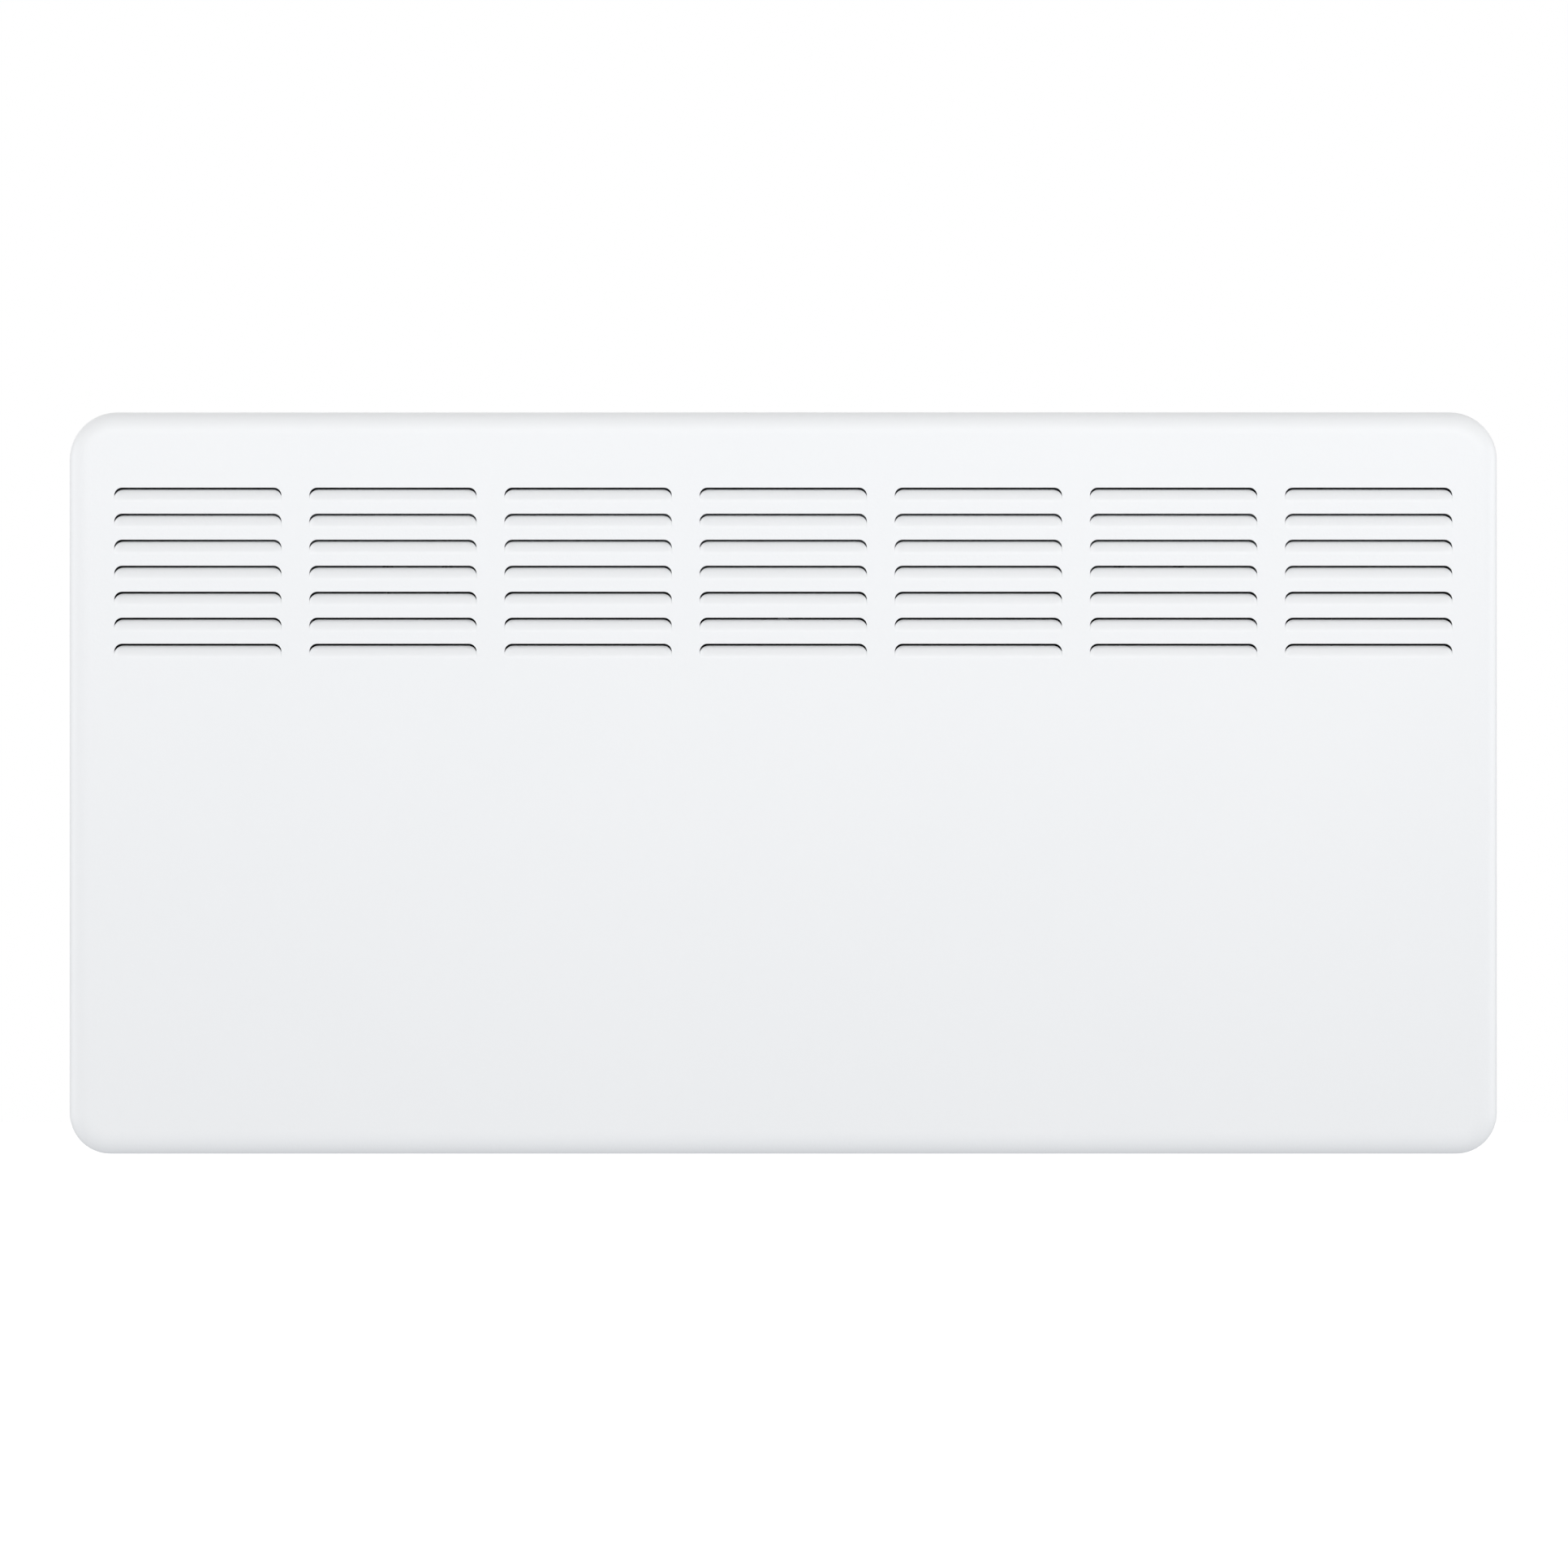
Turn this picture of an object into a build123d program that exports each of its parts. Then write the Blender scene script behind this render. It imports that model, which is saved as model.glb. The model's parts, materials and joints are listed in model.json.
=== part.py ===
"""Wall panel convector heater: a pressed steel cover with louvres over a flat steel back panel.

Cold air enters through slots in the underside, is warmed by a finned aluminium element in the
lower third, and leaves through the louvres in the front. Thermostat, switch and lamp sit in a
flush bezel in the right-hand end. The heater hangs on the hooks of a wall bracket.

Millimetres. +X is to the right seen from the front, +Y towards the wall, +Z up.
The origin is on the wall plane, in the middle of the four wall fixing holes.
"""

import os
from math import asin, atan2, degrees, radians, tan

from build123d import *

# ---------------------------------------------------------------------------
# Driving dimensions
# ---------------------------------------------------------------------------

# Overall
cover_width = 770.0
cover_height = 400.0
total_depth = 86.0
wall_gap = 18.0            # wall to the rear face of the back panel

# Sheet thicknesses
cover_sheet = 0.8
panel_sheet = 0.7
inner_sheet = 0.6          # partition, deflector
inner_gap = 1.2            # their edges to the inside of the cover
shield_sheet = 0.5
bracket_sheet = 1.5

# Cover
top_corner = 25.5          # corner radii of the front outline
bottom_corner = 22.0
edge_roll = 12.0           # radius between the front and the skirt
rim_bend = 1.6             # radius between the skirt and the rear flange
flange_width = 14.0

# Louvres in the front
louvre_margin = 20.0       # least distance from a louvre to the cover's side
column_pitch = 105.0
row_pitch = 14.0
louvre_length = 90.0
louvre_height = 8.0
louvre_gap = 1.0           # seen from the front, between the cut and the blade
louvre_bend = 9.0          # radius of the blade's front face
window_corner = 4.2
blade_corner = 4.8
blade_lap = 0.1            # how far the blade runs past the window at each end
top_row_drop = 41.0        # cover's top edge to the first cut

# Air inlet slots in the underside
inlet_rows = 4
inlet_pitch = 10.0
inlet_slot_width = 4.0

# Back panel
panel_margin = 6.0         # outline of the cover to the edge of the panel
panel_corner = 18.0
swage_depth = 1.2
swage_width = 12.0
swage_length = 300.0
swage_heights = (-72.0, -40.0, 48.0)

# Fastenings
cover_screw_shank = 1.5
cover_screw_head = 3.2
cover_screw_head_height = 1.8
cover_screw_length = 8.0
cross_recess = (2.0, 0.4, 0.8)     # half length, half width and depth of a screw's cross recess
cover_screw_inset = 10.0   # outline of the cover to the screw's centre
corner_screw_inset = 65.0  # cover's side to the outer screws at the top and the foot
middle_screw_across = 214.0
side_screw_down = 140.0
rivet_shank = 1.6
rivet_head = 3.0
rivet_head_height = 0.9
snug = 0.05                # radial clearance of a fastener in its hole
free = 0.3                 # general clearance
past = 1.0                 # how far a cutter runs past the faces it cuts

# Wall bracket
fixing_across = 400.0      # wall fixing holes, centre to centre
fixing_down = 200.0
fixing_hole = 2.75
upright_width = 34.0
upright_depth = 16.0
upright_foot_rise = 48.5   # cover's foot to the foot of the uprights
upright_past_hook = 20.0
crossbar_height = 26.0
upper_crossbar_drop = 142.0    # cover's top edge to the lower edge of the crossbar
lower_crossbar_rise = 62.0     # cover's foot to the lower edge of the crossbar
crossbar_tab = 14.0
keeper_depth = 12.0        # wall to the front of the lip that the latches catch behind
keeper_drop = 20.0         # lower crossbar to the lip's lower edge
hook_seat_drop = 80.0      # cover's top edge to the seat of the back panel on the hooks
hook_shank = 7.0
hook_nose = 9.0
hook_reach = 6.0           # how far the hooks reach past the panel's rear face
hook_throat_gap = 1.2      # back panel to the hook's nose
hook_slot_width = 3.5
hook_slot_height = 25.0
lift_travel = 12.0         # lift that frees the heater from its hooks

# Turn latches on the back panel: closed, they stand behind the lower crossbar's lip
latch_across = 240.0       # pivot to pivot
latch_margin = 2.0         # to the lip and the crossbar when the heater is lifted
latch_hub = 6.0
latch_arm_width = 7.0
latch_sheet = 2.0
latch_gap = 1.0            # lip to the latch
latch_pivot = 2.5
latch_bore_play = 0.08
latch_shoulder = 4.0
latch_pivot_head = 5.0
latch_pivot_head_height = 1.5
latch_washer = 0.5
latch_finger = 5.0         # length of the finger tab

# Wall spacers
spacer_inset = 100.0       # cover's side to the spacer
spacer_rise = 60.0         # cover's foot to the spacer
spacer_radius = 9.0
spacer_stem = 2.9
spacer_barb = 1.0          # how far the barb stands out past the stem
spacer_short = 0.5         # how far they stop short of the wall

# Heating element
element_depth = 56.0       # wall plane to the element's centre
element_rise = 80.0        # cover's foot to the element's centre
leg_spacing = 24.0
tube_radius = 4.0
bend_past_support = 6.0    # support plate to where the tube's bend begins
tube_past_partition = 22.0
fins_from_support = 16.0
fins_from_partition = 28.0
core_radius = 7.0
core_play = 0.1
arm_reach = 22.0           # sideways reach of the long arms
arm_rise = 24.0            # rise of the long arms past the cores
side_fin = 15.0            # sideways reach of the short fins
arm_sheet = 1.6
slit_pitch = 11.0
slit_width = 1.6
slit_core_width = 18.0     # middle of the profile that the slits leave whole
pin_radius = 1.25
pin_length = 12.0
collar_radius = 3.6
collar_length = 5.0
bush_radius = 6.9
bush_flange = 9.0
bush_flange_thickness = 2.0
bush_barrel = 6.0
support_inset = 73.0       # cover's left side to the plate that carries the element
support_foot = 14.0
support_sheet = 0.8

# Heat shield behind the element
shield_gap = 8.0           # back panel to the shield
shield_from_support = 12.0
shield_rise = 46.0         # cover's foot to the foot of the shield
shield_drop = 116.0        # cover's top edge to the top of the shield
shield_lip = 10.0
shield_rivet_inset = 40.0  # end of the shield to the outer rivets

# Air deflector behind the top of the louvres
deflector_drop = 64.0      # cover's top edge to the foot of the deflector
deflector_tab = 12.0
deflector_front_drop = 30.0
deflector_front_tab = 12.0
seal_inset = 2.0           # edges of the front tab to the seal
deflector_rivet_pitch = 250.0

# Electrical compartment
partition_inset = 85.0     # cover's right side to the partition
partition_tall = 260.0     # cover's foot to the partition's roof
partition_foot = 10.0
partition_foot_rises = ((16.0, 40.0), (210.0, 250.0))  # cover's foot to the feet's two ends
grommet_rise = 164.0
grommet_hole = 5.0
grommet_flange = 7.0
grommet_bore = 3.4
grommet_lip = 1.5

# Control bezel in the right-hand skirt
bezel_depth_place = 46.0   # wall plane to the bezel's centre line
bezel_window_rise = 134.0  # cover's foot to the window
bezel_window_tall = 108.0
bezel_window_width = 40.0
bezel_window_corner = 6.0
bezel_flange_width = 47.0
bezel_ear = 14.0           # flange past the window, top and bottom
bezel_flange_thickness = 2.4
bezel_fit = 0.3
bezel_stud_inset = 6.0     # end of the flange to the stud
bezel_stud = 1.5
bezel_nut_across = 5.5
bezel_nut_height = 2.4

# Thermostat
knob_rise = 214.0          # cover's foot to the knob's axis
dish_radius = 15.5
dish_depth = 14.0
dish_wall = 1.6
dish_floor = 2.0
knob_radius = 14.0
knob_lift = 1.6            # dish floor to the knob's underside
knob_disc = 3.6
knob_short = 0.6           # how far the knob stays behind the cover's skin
knob_bevel = 0.8
knob_wall = 1.6
knob_hub_wall = 2.5
grip_width = 8.0
grip_inset = 1.0           # rim of the disc to the ends of the grip
grip_end_radius = 3.6
grip_edge = 1.2
pointer_length = 7.0
pointer_width = 1.2
pointer_depth = 0.5
spindle_radius = 3.0
spindle_flat = 1.0         # depth of the flat on the spindle
spindle_play = 0.08
spindle_floor_play = 0.5
spindle_back = 6.0         # end of the spindle inside the body
spindle_cover = 2.0        # knob's material over the spindle's end
thermostat_width = 30.0
thermostat_tall = 34.0
thermostat_thick = 24.0
thermostat_screw_spread = 20.0
thermostat_screw = 1.4
thermostat_screw_head = 2.6
thermostat_screw_head_height = 1.2
thermostat_screw_length = 8.0
blade_width = 6.3
blade_thickness = 0.8
blade_length = 8.0
thermostat_blade_spread = 16.0

# Temperature sensor of the thermostat
phial_radius = 3.0
phial_length = 52.0
phial_from_partition = 12.0
phial_depth = 32.0
phial_rise = 22.0          # cover's foot to the phial
capillary_radius = 0.9
clip_width = 8.0
clip_wall = 0.8
clip_foot = 11.0

# Indicator lamp
indicator_rise = 180.0     # cover's foot to the lamp
lamp_radius = 4.0
lamp_flange = 5.2
lamp_flange_thickness = 1.0
lamp_body_length = 20.0
lamp_sink = 1.6            # recess of the lamp's seat

# Rocker switch
switch_rise = 154.0        # cover's foot to the switch
switch_recess = 3.0
switch_frame_tall = 26.0
switch_frame_wide = 19.0
switch_frame_thickness = 1.6
switch_corner = 1.6
switch_wall = 2.0          # bezel round the switch's recess
switch_body_tall = 22.0
switch_body_wide = 15.0
switch_body_deep = 22.0
switch_well_tall = 20.0
switch_well_wide = 12.0
switch_well_deep = 14.0
rocker_radius = 9.6
rocker_side_play = 0.2
rocker_tilt = 9.0          # degrees each side of the middle
rocker_pivot_sink = 5.0    # cover's skin to the rocker's axis
rocker_crown = 1.6         # axis to the valley of the rocker
rocker_skirt = 3.0         # axis to the rocker's underside
rocker_pin = 1.4
rocker_pin_play = 0.08
rocker_pin_length = 1.2
switch_blade_spread = 12.0

# Overheat cut-out
cutout_from_partition = 22.0
cutout_over_element = 60.0
cutout_shelf_length = 38.0
cutout_shelf_width = 20.0
cutout_shelf_foot = 10.0
cutout_cap_radius = 8.0
cutout_cap_height = 6.0
cutout_body_radius = 7.2
cutout_body_height = 9.0
cutout_blade_spread = 10.0
cutout_shelf_sheet = 0.8

# Terminal block, earth stud and mains inlet
terminal_inset = 41.0      # cover's right side to the middle pole
terminal_pitch = 14.0
terminal_poles = 3
terminal_rise = 88.0       # cover's foot to the block
terminal_tall = 20.0
terminal_deep = 18.0
terminal_web = 4.0         # thickness of the block's base between the poles
terminal_barrel = 10.0
terminal_bore = 2.2
terminal_screw_head = 2.6
terminal_screw_sink = 1.5
terminal_slot = 1.0
earth_inset = 67.0
earth_rise = 50.0
earth_stud_radius = 2.0
earth_stud_length = 12.0
earth_nut_across = 7.0
earth_nut_height = 3.2
earth_tag_radius = 4.5
earth_tag_sheet = 0.8
earth_tag_neck = 1.6
earth_tag_barrel = 5.0
earth_tag_wall = 0.5
inlet_inset = 40.0
inlet_rise = 38.0
inlet_bore = 4.2
gland_barrel = 7.5
gland_flange = 11.0
gland_flange_thickness = 3.0
gland_barrel_length = 13.0
gland_nut_across = 20.0
gland_nut_height = 5.0

# Wiring
wire_radius = 1.3
earth_wire_radius = 1.3

# ---------------------------------------------------------------------------
# Levels worked out from the driving dimensions
# ---------------------------------------------------------------------------

half_width = cover_width / 2
half_height = cover_height / 2
front = -total_depth                       # outer face of the cover's front
front_inside = front + cover_sheet
panel_rear = -wall_gap
panel_front = panel_rear - panel_sheet     # face that the inner parts stand on
rim_front = panel_front - cover_sheet      # front face of the cover's rear flange
skin = half_width                          # outer face of the right-hand skirt
skin_inside = skin - cover_sheet
foot = -half_height

partition_x = skin - partition_inset
partition_top = foot + partition_tall
partition_feet = [(foot + low, foot + high) for low, high in partition_foot_rises]
first_cut = half_height - top_row_drop
louvre_rows = int((first_cut - partition_top) / row_pitch)
louvre_field = cover_width - 2 * louvre_margin + column_pitch - louvre_length
louvre_columns = int(louvre_field / column_pitch)
louvre_xs = [column_pitch * (i - (louvre_columns - 1) / 2) for i in range(louvre_columns)]
louvre_zs = [first_cut - row_pitch * i for i in range(louvre_rows)]
inlet_middle = -(total_depth - edge_roll + wall_gap + panel_sheet + rim_bend) / 2
inlet_ys = [inlet_middle + inlet_pitch * (i - (inlet_rows - 1) / 2) for i in range(inlet_rows)]

corner_screw_x = half_width - corner_screw_inset
screw_top_places = (-corner_screw_x, -middle_screw_across / 2, middle_screw_across / 2, corner_screw_x)
screw_side_places = (-side_screw_down / 2, side_screw_down / 2)

hook_seat = half_height - hook_seat_drop
upright_low = foot + upright_foot_rise
upright_high = hook_seat + upright_past_hook
upper_crossbar_low = half_height - upper_crossbar_drop
lower_crossbar_low = foot + lower_crossbar_rise
upright_xs = (-fixing_across / 2, fixing_across / 2)
upright_sides = (-(upright_width - bracket_sheet) / 2, (upright_width - bracket_sheet) / 2)
hook_xs = [x + side for x in upright_xs for side in upright_sides]
keeper_low = lower_crossbar_low - keeper_drop
latch_xs = (-latch_across / 2, latch_across / 2)
latch_front = bracket_sheet + latch_gap - keeper_depth
latch_rear = latch_front + latch_sheet
latch_height = keeper_low - lift_travel - latch_shoulder - latch_margin
latch_arm = lower_crossbar_low - lift_travel - latch_margin - latch_height
pivot_head_front = latch_rear + latch_washer + free / 2
spacer_height = foot + spacer_rise
spacer_xs = (spacer_inset - half_width, half_width - spacer_inset)

support_x = support_inset - half_width
tube_left = support_x - bend_past_support
tube_right = partition_x + tube_past_partition
fins_left = support_x + fins_from_support
fins_right = partition_x - fins_from_partition
element_height = foot + element_rise
element_y = -element_depth
leg_zs = (element_height - leg_spacing / 2, element_height + leg_spacing / 2)
shield_rear = panel_front - shield_gap
shield_left = support_x + shield_from_support
shield_right = partition_x - free
shield_low = foot + shield_rise
shield_high = half_height - shield_drop
shield_rivet_x = shield_left + shield_rivet_inset
shield_rivets = (shield_rivet_x, 0, -shield_rivet_x)
deflector_low = half_height - deflector_drop
deflector_front_low = half_height - deflector_front_drop
deflector_rivets = (-deflector_rivet_pitch, 0, deflector_rivet_pitch)
grommet_height = foot + grommet_rise

bezel_y = -bezel_depth_place
bezel_rear = skin_inside - bezel_flange_thickness
bezel_window_low = foot + bezel_window_rise
bezel_window_high = bezel_window_low + bezel_window_tall
bezel_low = bezel_window_low - bezel_ear
bezel_high = bezel_window_high + bezel_ear
bezel_middle = (bezel_window_low + bezel_window_high) / 2
stud_zs = (bezel_low + bezel_stud_inset, bezel_high - bezel_stud_inset)

knob_height = foot + knob_rise
lamp_height = foot + indicator_rise
switch_height = foot + switch_rise
phial_x = partition_x + phial_from_partition
phial_height = foot + phial_rise
cutout_x = partition_x - cutout_from_partition
cutout_shelf = element_height + cutout_over_element
dish_bottom = skin - dish_depth
dish_back = dish_bottom - dish_floor
knob_bottom = dish_bottom + knob_lift
knob_top = skin - knob_short
thermostat_left = dish_back - thermostat_thick
switch_seat = skin - switch_recess
rocker_axis = skin - rocker_pivot_sink
switch_left = switch_seat - switch_body_deep
lamp_seat = skin - lamp_sink
terminal_x = skin - terminal_inset
terminal_low = foot + terminal_rise
terminal_high = terminal_low + terminal_tall
terminal_xs = [terminal_x + terminal_pitch * (i - (terminal_poles - 1) / 2) for i in range(terminal_poles)]
terminal_front = panel_front - terminal_deep
terminal_bore_y = panel_front - terminal_deep / 2
leg_end = tube_right + pin_length
earth_x = skin - earth_inset
earth_z = foot + earth_rise
inlet_x = skin - inlet_inset
inlet_z = foot + inlet_rise
earth_tag_top = earth_z + earth_tag_radius + earth_tag_barrel + free


# ---------------------------------------------------------------------------
# Shapes that several parts use
# ---------------------------------------------------------------------------

def slab(x, y, z):
    """Block between three (low, high) pairs."""
    centre = [(low + high) / 2 for low, high in (x, y, z)]
    size = [high - low for low, high in (x, y, z)]
    return Pos(*centre) * Box(*size)


def through(low, high):
    """Reach of a cutter that goes through everything between two levels."""
    return (low - past, high + past)


def rod_x(radius, x, y, z):
    """Round bar along X, between the pair x."""
    return Pos((x[0] + x[1]) / 2, y, z) * Rot(0, 90, 0) * Cylinder(radius, x[1] - x[0])


def rod_y(radius, x, y, z):
    """Round bar along Y, between the pair y."""
    return Pos(x, (y[0] + y[1]) / 2, z) * Rot(90, 0, 0) * Cylinder(radius, y[1] - y[0])


def rod_z(radius, x, y, z):
    """Round bar along Z, between the pair z."""
    return Pos(x, y, (z[0] + z[1]) / 2) * Cylinder(radius, z[1] - z[0])


def seen_from_front(sketch, y):
    """Extrudes a sketch of X and Z between the pair y."""
    return extrude(Plane.XZ.offset(-y[1]) * sketch, y[1] - y[0])


def seen_from_right(sketch, x):
    """Extrudes a sketch of Y and Z between the pair x."""
    return extrude(Plane.YZ.offset(x[0]) * sketch, x[1] - x[0])


def hexagon_y(across, x, y, z):
    """Hexagon nut blank along Y."""
    return seen_from_front(Pos(x, z) * RegularPolygon(across / 2, 6, major_radius=False), y)


def hexagon_x(across, x, y, z):
    """Hexagon nut blank along X."""
    return seen_from_right(Pos(y, z) * RegularPolygon(across / 2, 6, major_radius=False), x)


def sheet_section(points, sheet):
    """Flat face of a folded strip: the line through the points, thickened to its left."""
    line = [Vector(*p) for p in points]
    normals = []
    for a, b in zip(line, line[1:]):
        run = (b - a).normalized()
        normals.append(Vector(-run.Y, run.X))
    offset = [line[0] + normals[0] * sheet]
    for point, n1, n2 in zip(line[1:-1], normals, normals[1:]):
        mitre = n1 + n2
        offset.append(point + mitre * (sheet * 2 / mitre.length ** 2))
    offset.append(line[-1] + normals[-1] * sheet)
    outline = [tuple(p)[:2] for p in [*line, *reversed(offset)]]
    return make_face(Polyline(*outline, close=True))


def tube(points, radius, bends):
    """Round tube along straight runs joined by tangent arcs."""
    path = FilletPolyline(*points, radius=bends)
    start = Plane(origin=path @ 0, z_dir=path % 0)
    return sweep(start * Circle(radius), path=path)


def group(solids):
    """Several separate solids kept as one node."""
    return Compound(children=list(solids))


def outline(inset):
    """Front outline of the cover, brought in by inset."""
    flat = Rectangle(cover_width - 2 * inset, cover_height - 2 * inset)
    flat = fillet(flat.vertices().group_by(Axis.Y)[-1], top_corner - inset)
    return fillet(flat.vertices().group_by(Axis.Y)[0], bottom_corner - inset)


# ---------------------------------------------------------------------------
# Front cover
# ---------------------------------------------------------------------------

def drawn_tray(inset, y, roll, rim):
    """Solid of the cover's outside or inside: rounded front edge, small rear edge."""
    body = seen_from_front(outline(inset), y)
    faces = body.faces().sort_by(Axis.Y)
    body = fillet(faces[0].edges(), roll)
    return fillet(body.faces().sort_by(Axis.Y)[-1].edges(), rim)


def louvre_window():
    """Cut through the front: straight top edge with rounded corners. Its foot is at z = 0."""
    flat = Pos(0, louvre_height / 2) * Rectangle(louvre_length, louvre_height)
    flat = fillet(flat.vertices().group_by(Axis.Y)[-1], window_corner)
    return seen_from_front(flat, (front - cover_sheet, front_inside + cover_sheet))


def louvre_blade():
    """Strip pressed inwards along an arc that starts flush with the front, with rounded top corners."""
    blade_height = louvre_height - louvre_gap
    sweep_angle = degrees(asin(blade_height / louvre_bend))
    centre = (front + louvre_bend, 0)
    outer = CenterArc(centre, louvre_bend, 180, -sweep_angle)
    inner = CenterArc(centre, louvre_bend - cover_sheet, 180, -sweep_angle)
    section = make_face([outer, Line(outer @ 1, inner @ 1), inner, Line(inner @ 0, outer @ 0)])
    half = louvre_length / 2 + blade_lap
    strip = seen_from_right(section, (-half, half))
    trim = Pos(0, blade_height / 2) * Rectangle(2 * half, blade_height)
    trim = fillet(trim.vertices().group_by(Axis.Y)[-1], blade_corner)
    return strip & seen_from_front(trim, (front, front + louvre_bend))


def front_cover():
    """One pressing: front with louvres, skirt with inlet slots and control window, rear flange."""
    shell = drawn_tray(0, (front, panel_front), edge_roll, rim_bend)
    shell -= drawn_tray(
        cover_sheet,
        (front_inside, rim_front),
        edge_roll - cover_sheet,
        rim_bend - cover_sheet,
    )
    shell -= seen_from_front(outline(flange_width), (rim_front - cover_sheet, panel_front + cover_sheet))
    slot = extrude(SlotOverall(louvre_length, inlet_slot_width), 2 * cover_sheet, both=True)
    slot = Pos(0, 0, -half_height) * slot
    shell -= [Pos(x, y, 0) * slot for x in louvre_xs for y in inlet_ys]
    control_window = RectangleRounded(
        bezel_window_width, bezel_window_high - bezel_window_low, bezel_window_corner
    )
    shell -= seen_from_right(Pos(bezel_y, bezel_middle) * control_window, through(skin_inside, skin))
    rim = through(rim_front, panel_front)
    shell -= [rod_y(cover_screw_shank + snug, x, rim, z) for x, z in screw_places()]
    feet = [(x, z - louvre_height) for x in louvre_xs for z in louvre_zs]
    window, blade = louvre_window(), louvre_blade()
    shell -= [Pos(x, 0, z) * window for x, z in feet]
    return shell + [Pos(x, 0, z) * blade for x, z in feet]


def screw_places():
    """(x, z) of the screws between the back panel and the cover's rear flange."""
    high = half_height - cover_screw_inset
    wide = half_width - cover_screw_inset
    level = [(x, side * high) for x in screw_top_places for side in (-1, 1)]
    upright = [(side * wide, z) for z in screw_side_places for side in (-1, 1)]
    return level + upright


def cover_screws():
    """Self-tapping screws with domed heads against the back panel."""
    head = rod_y(cover_screw_head, 0, (panel_rear, panel_rear + cover_screw_head_height), 0)
    head = fillet(head.edges().sort_by(Axis.Y)[-1], cover_screw_head_height / 2)
    half, thin, deep = cross_recess
    crown = panel_rear + cover_screw_head_height
    recess = slab((-half, half), (crown - deep, crown + past), (-thin, thin))
    recess += slab((-thin, thin), (crown - deep, crown + past), (-half, half))
    shank = rod_y(cover_screw_shank, 0, (panel_rear - cover_screw_length, panel_rear), 0)
    screw = head - recess + shank
    return group(Pos(x, 0, z) * screw for x, z in screw_places())


# ---------------------------------------------------------------------------
# Back panel and what stays on its rear face
# ---------------------------------------------------------------------------

def back_panel():
    """Flat zinc-coated panel with hook slots, stiffening swages and the mains inlet."""
    flat = RectangleRounded(cover_width - 2 * panel_margin, cover_height - 2 * panel_margin, panel_corner)
    panel = seen_from_front(flat, (panel_front, panel_rear))
    for z in swage_heights:
        outer = Pos(0, z) * SlotOverall(swage_length, swage_width)
        inner = Pos(0, z) * SlotOverall(swage_length - 2 * panel_sheet, swage_width - 2 * panel_sheet)
        panel += seen_from_front(outer, (panel_front, panel_rear + swage_depth))
        panel -= seen_from_front(inner, (panel_front, panel_front + swage_depth))
    sheet = through(panel_front, panel_rear)
    half = hook_slot_width / 2
    slot = slab((-half, half), sheet, (hook_seat - hook_slot_height, hook_seat))
    panel -= [Pos(x, 0, 0) * slot for x in hook_xs]
    panel -= [rod_y(cover_screw_shank + free, x, sheet, z) for x, z in screw_places()]
    panel -= [rod_y(latch_pivot + snug, x, sheet, latch_height) for x in latch_xs]
    panel -= [rod_y(spacer_stem + snug, x, sheet, spacer_height) for x in spacer_xs]
    panel -= [rod_y(rivet_shank + snug, x, sheet, z) for x, z, _ in panel_rivet_places()]
    panel -= rod_y(gland_barrel + snug, inlet_x, sheet, inlet_z)
    return panel


def latch(side):
    """Turn latch, open: its arm lies level, pointing outwards. side is -1 for left, 1 for right."""
    hub = Circle(latch_hub)
    arm = Pos(side * latch_arm / 2, 0) * Rectangle(latch_arm, latch_arm_width)
    lever = hub + arm
    lever = fillet(lever.vertices().group_by(Axis.X)[-1 if side > 0 else 0], latch_arm_width / 3)
    lever -= Circle(latch_pivot + latch_bore_play)
    lever = Pos(side * latch_across / 2, latch_height) * lever
    plate = seen_from_front(lever, (latch_front, latch_rear))
    end = side * (latch_across / 2 + latch_arm)
    tab = sorted((end - side * 2 * latch_sheet, end - side * latch_sheet))
    finger = slab(
        tab,
        (latch_rear, latch_rear + latch_finger),
        (latch_height - latch_arm_width / 3, latch_height + latch_arm_width / 3),
    )
    return plate + finger


def latch_pivots():
    """Shouldered rivets through the back panel, one for each latch."""
    def pivot(x):
        shank = rod_y(latch_pivot, x, (panel_front - rivet_head_height, pivot_head_front), latch_height)
        shank += rod_y(latch_shoulder, x, (panel_rear, latch_front - free), latch_height)
        head = rod_y(
            latch_pivot_head, x, (pivot_head_front, pivot_head_front + latch_pivot_head_height), latch_height
        )
        head = fillet(head.edges().sort_by(Axis.Y)[-1], latch_pivot_head_height / 2)
        inner = rod_y(latch_pivot_head, x, (panel_front - rivet_head_height, panel_front), latch_height)
        return shank + head + inner
    return group(pivot(x) for x in latch_xs)


def latch_washers():
    """Thin washers between latch and rivet head."""
    y = (pivot_head_front - latch_washer, pivot_head_front)
    def washer(x):
        ring = rod_y(latch_pivot_head - free, x, y, latch_height)
        return ring - rod_y(latch_pivot + latch_bore_play, x, through(*y), latch_height)
    return group(washer(x) for x in latch_xs)


def wall_spacers():
    """Rubber pads that keep the foot of the heater off the wall, pushed into the back panel."""
    upward = (Align.CENTER, Align.CENTER, Align.MIN)
    def spacer(x):
        pad = rod_y(spacer_radius, x, (panel_rear, -spacer_short), spacer_height)
        pad = fillet(pad.edges().sort_by(Axis.Y)[-1], spacer_radius / 4)
        stem = rod_y(spacer_stem, x, (panel_front, panel_rear), spacer_height)
        barb = Cone(spacer_stem + spacer_barb, spacer_stem - spacer_barb, spacer_stem, align=upward)
        return pad + stem + Pos(x, panel_front, spacer_height) * Rot(90, 0, 0) * barb
    return group(spacer(x) for x in spacer_xs)


# ---------------------------------------------------------------------------
# Wall bracket
# ---------------------------------------------------------------------------

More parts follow.
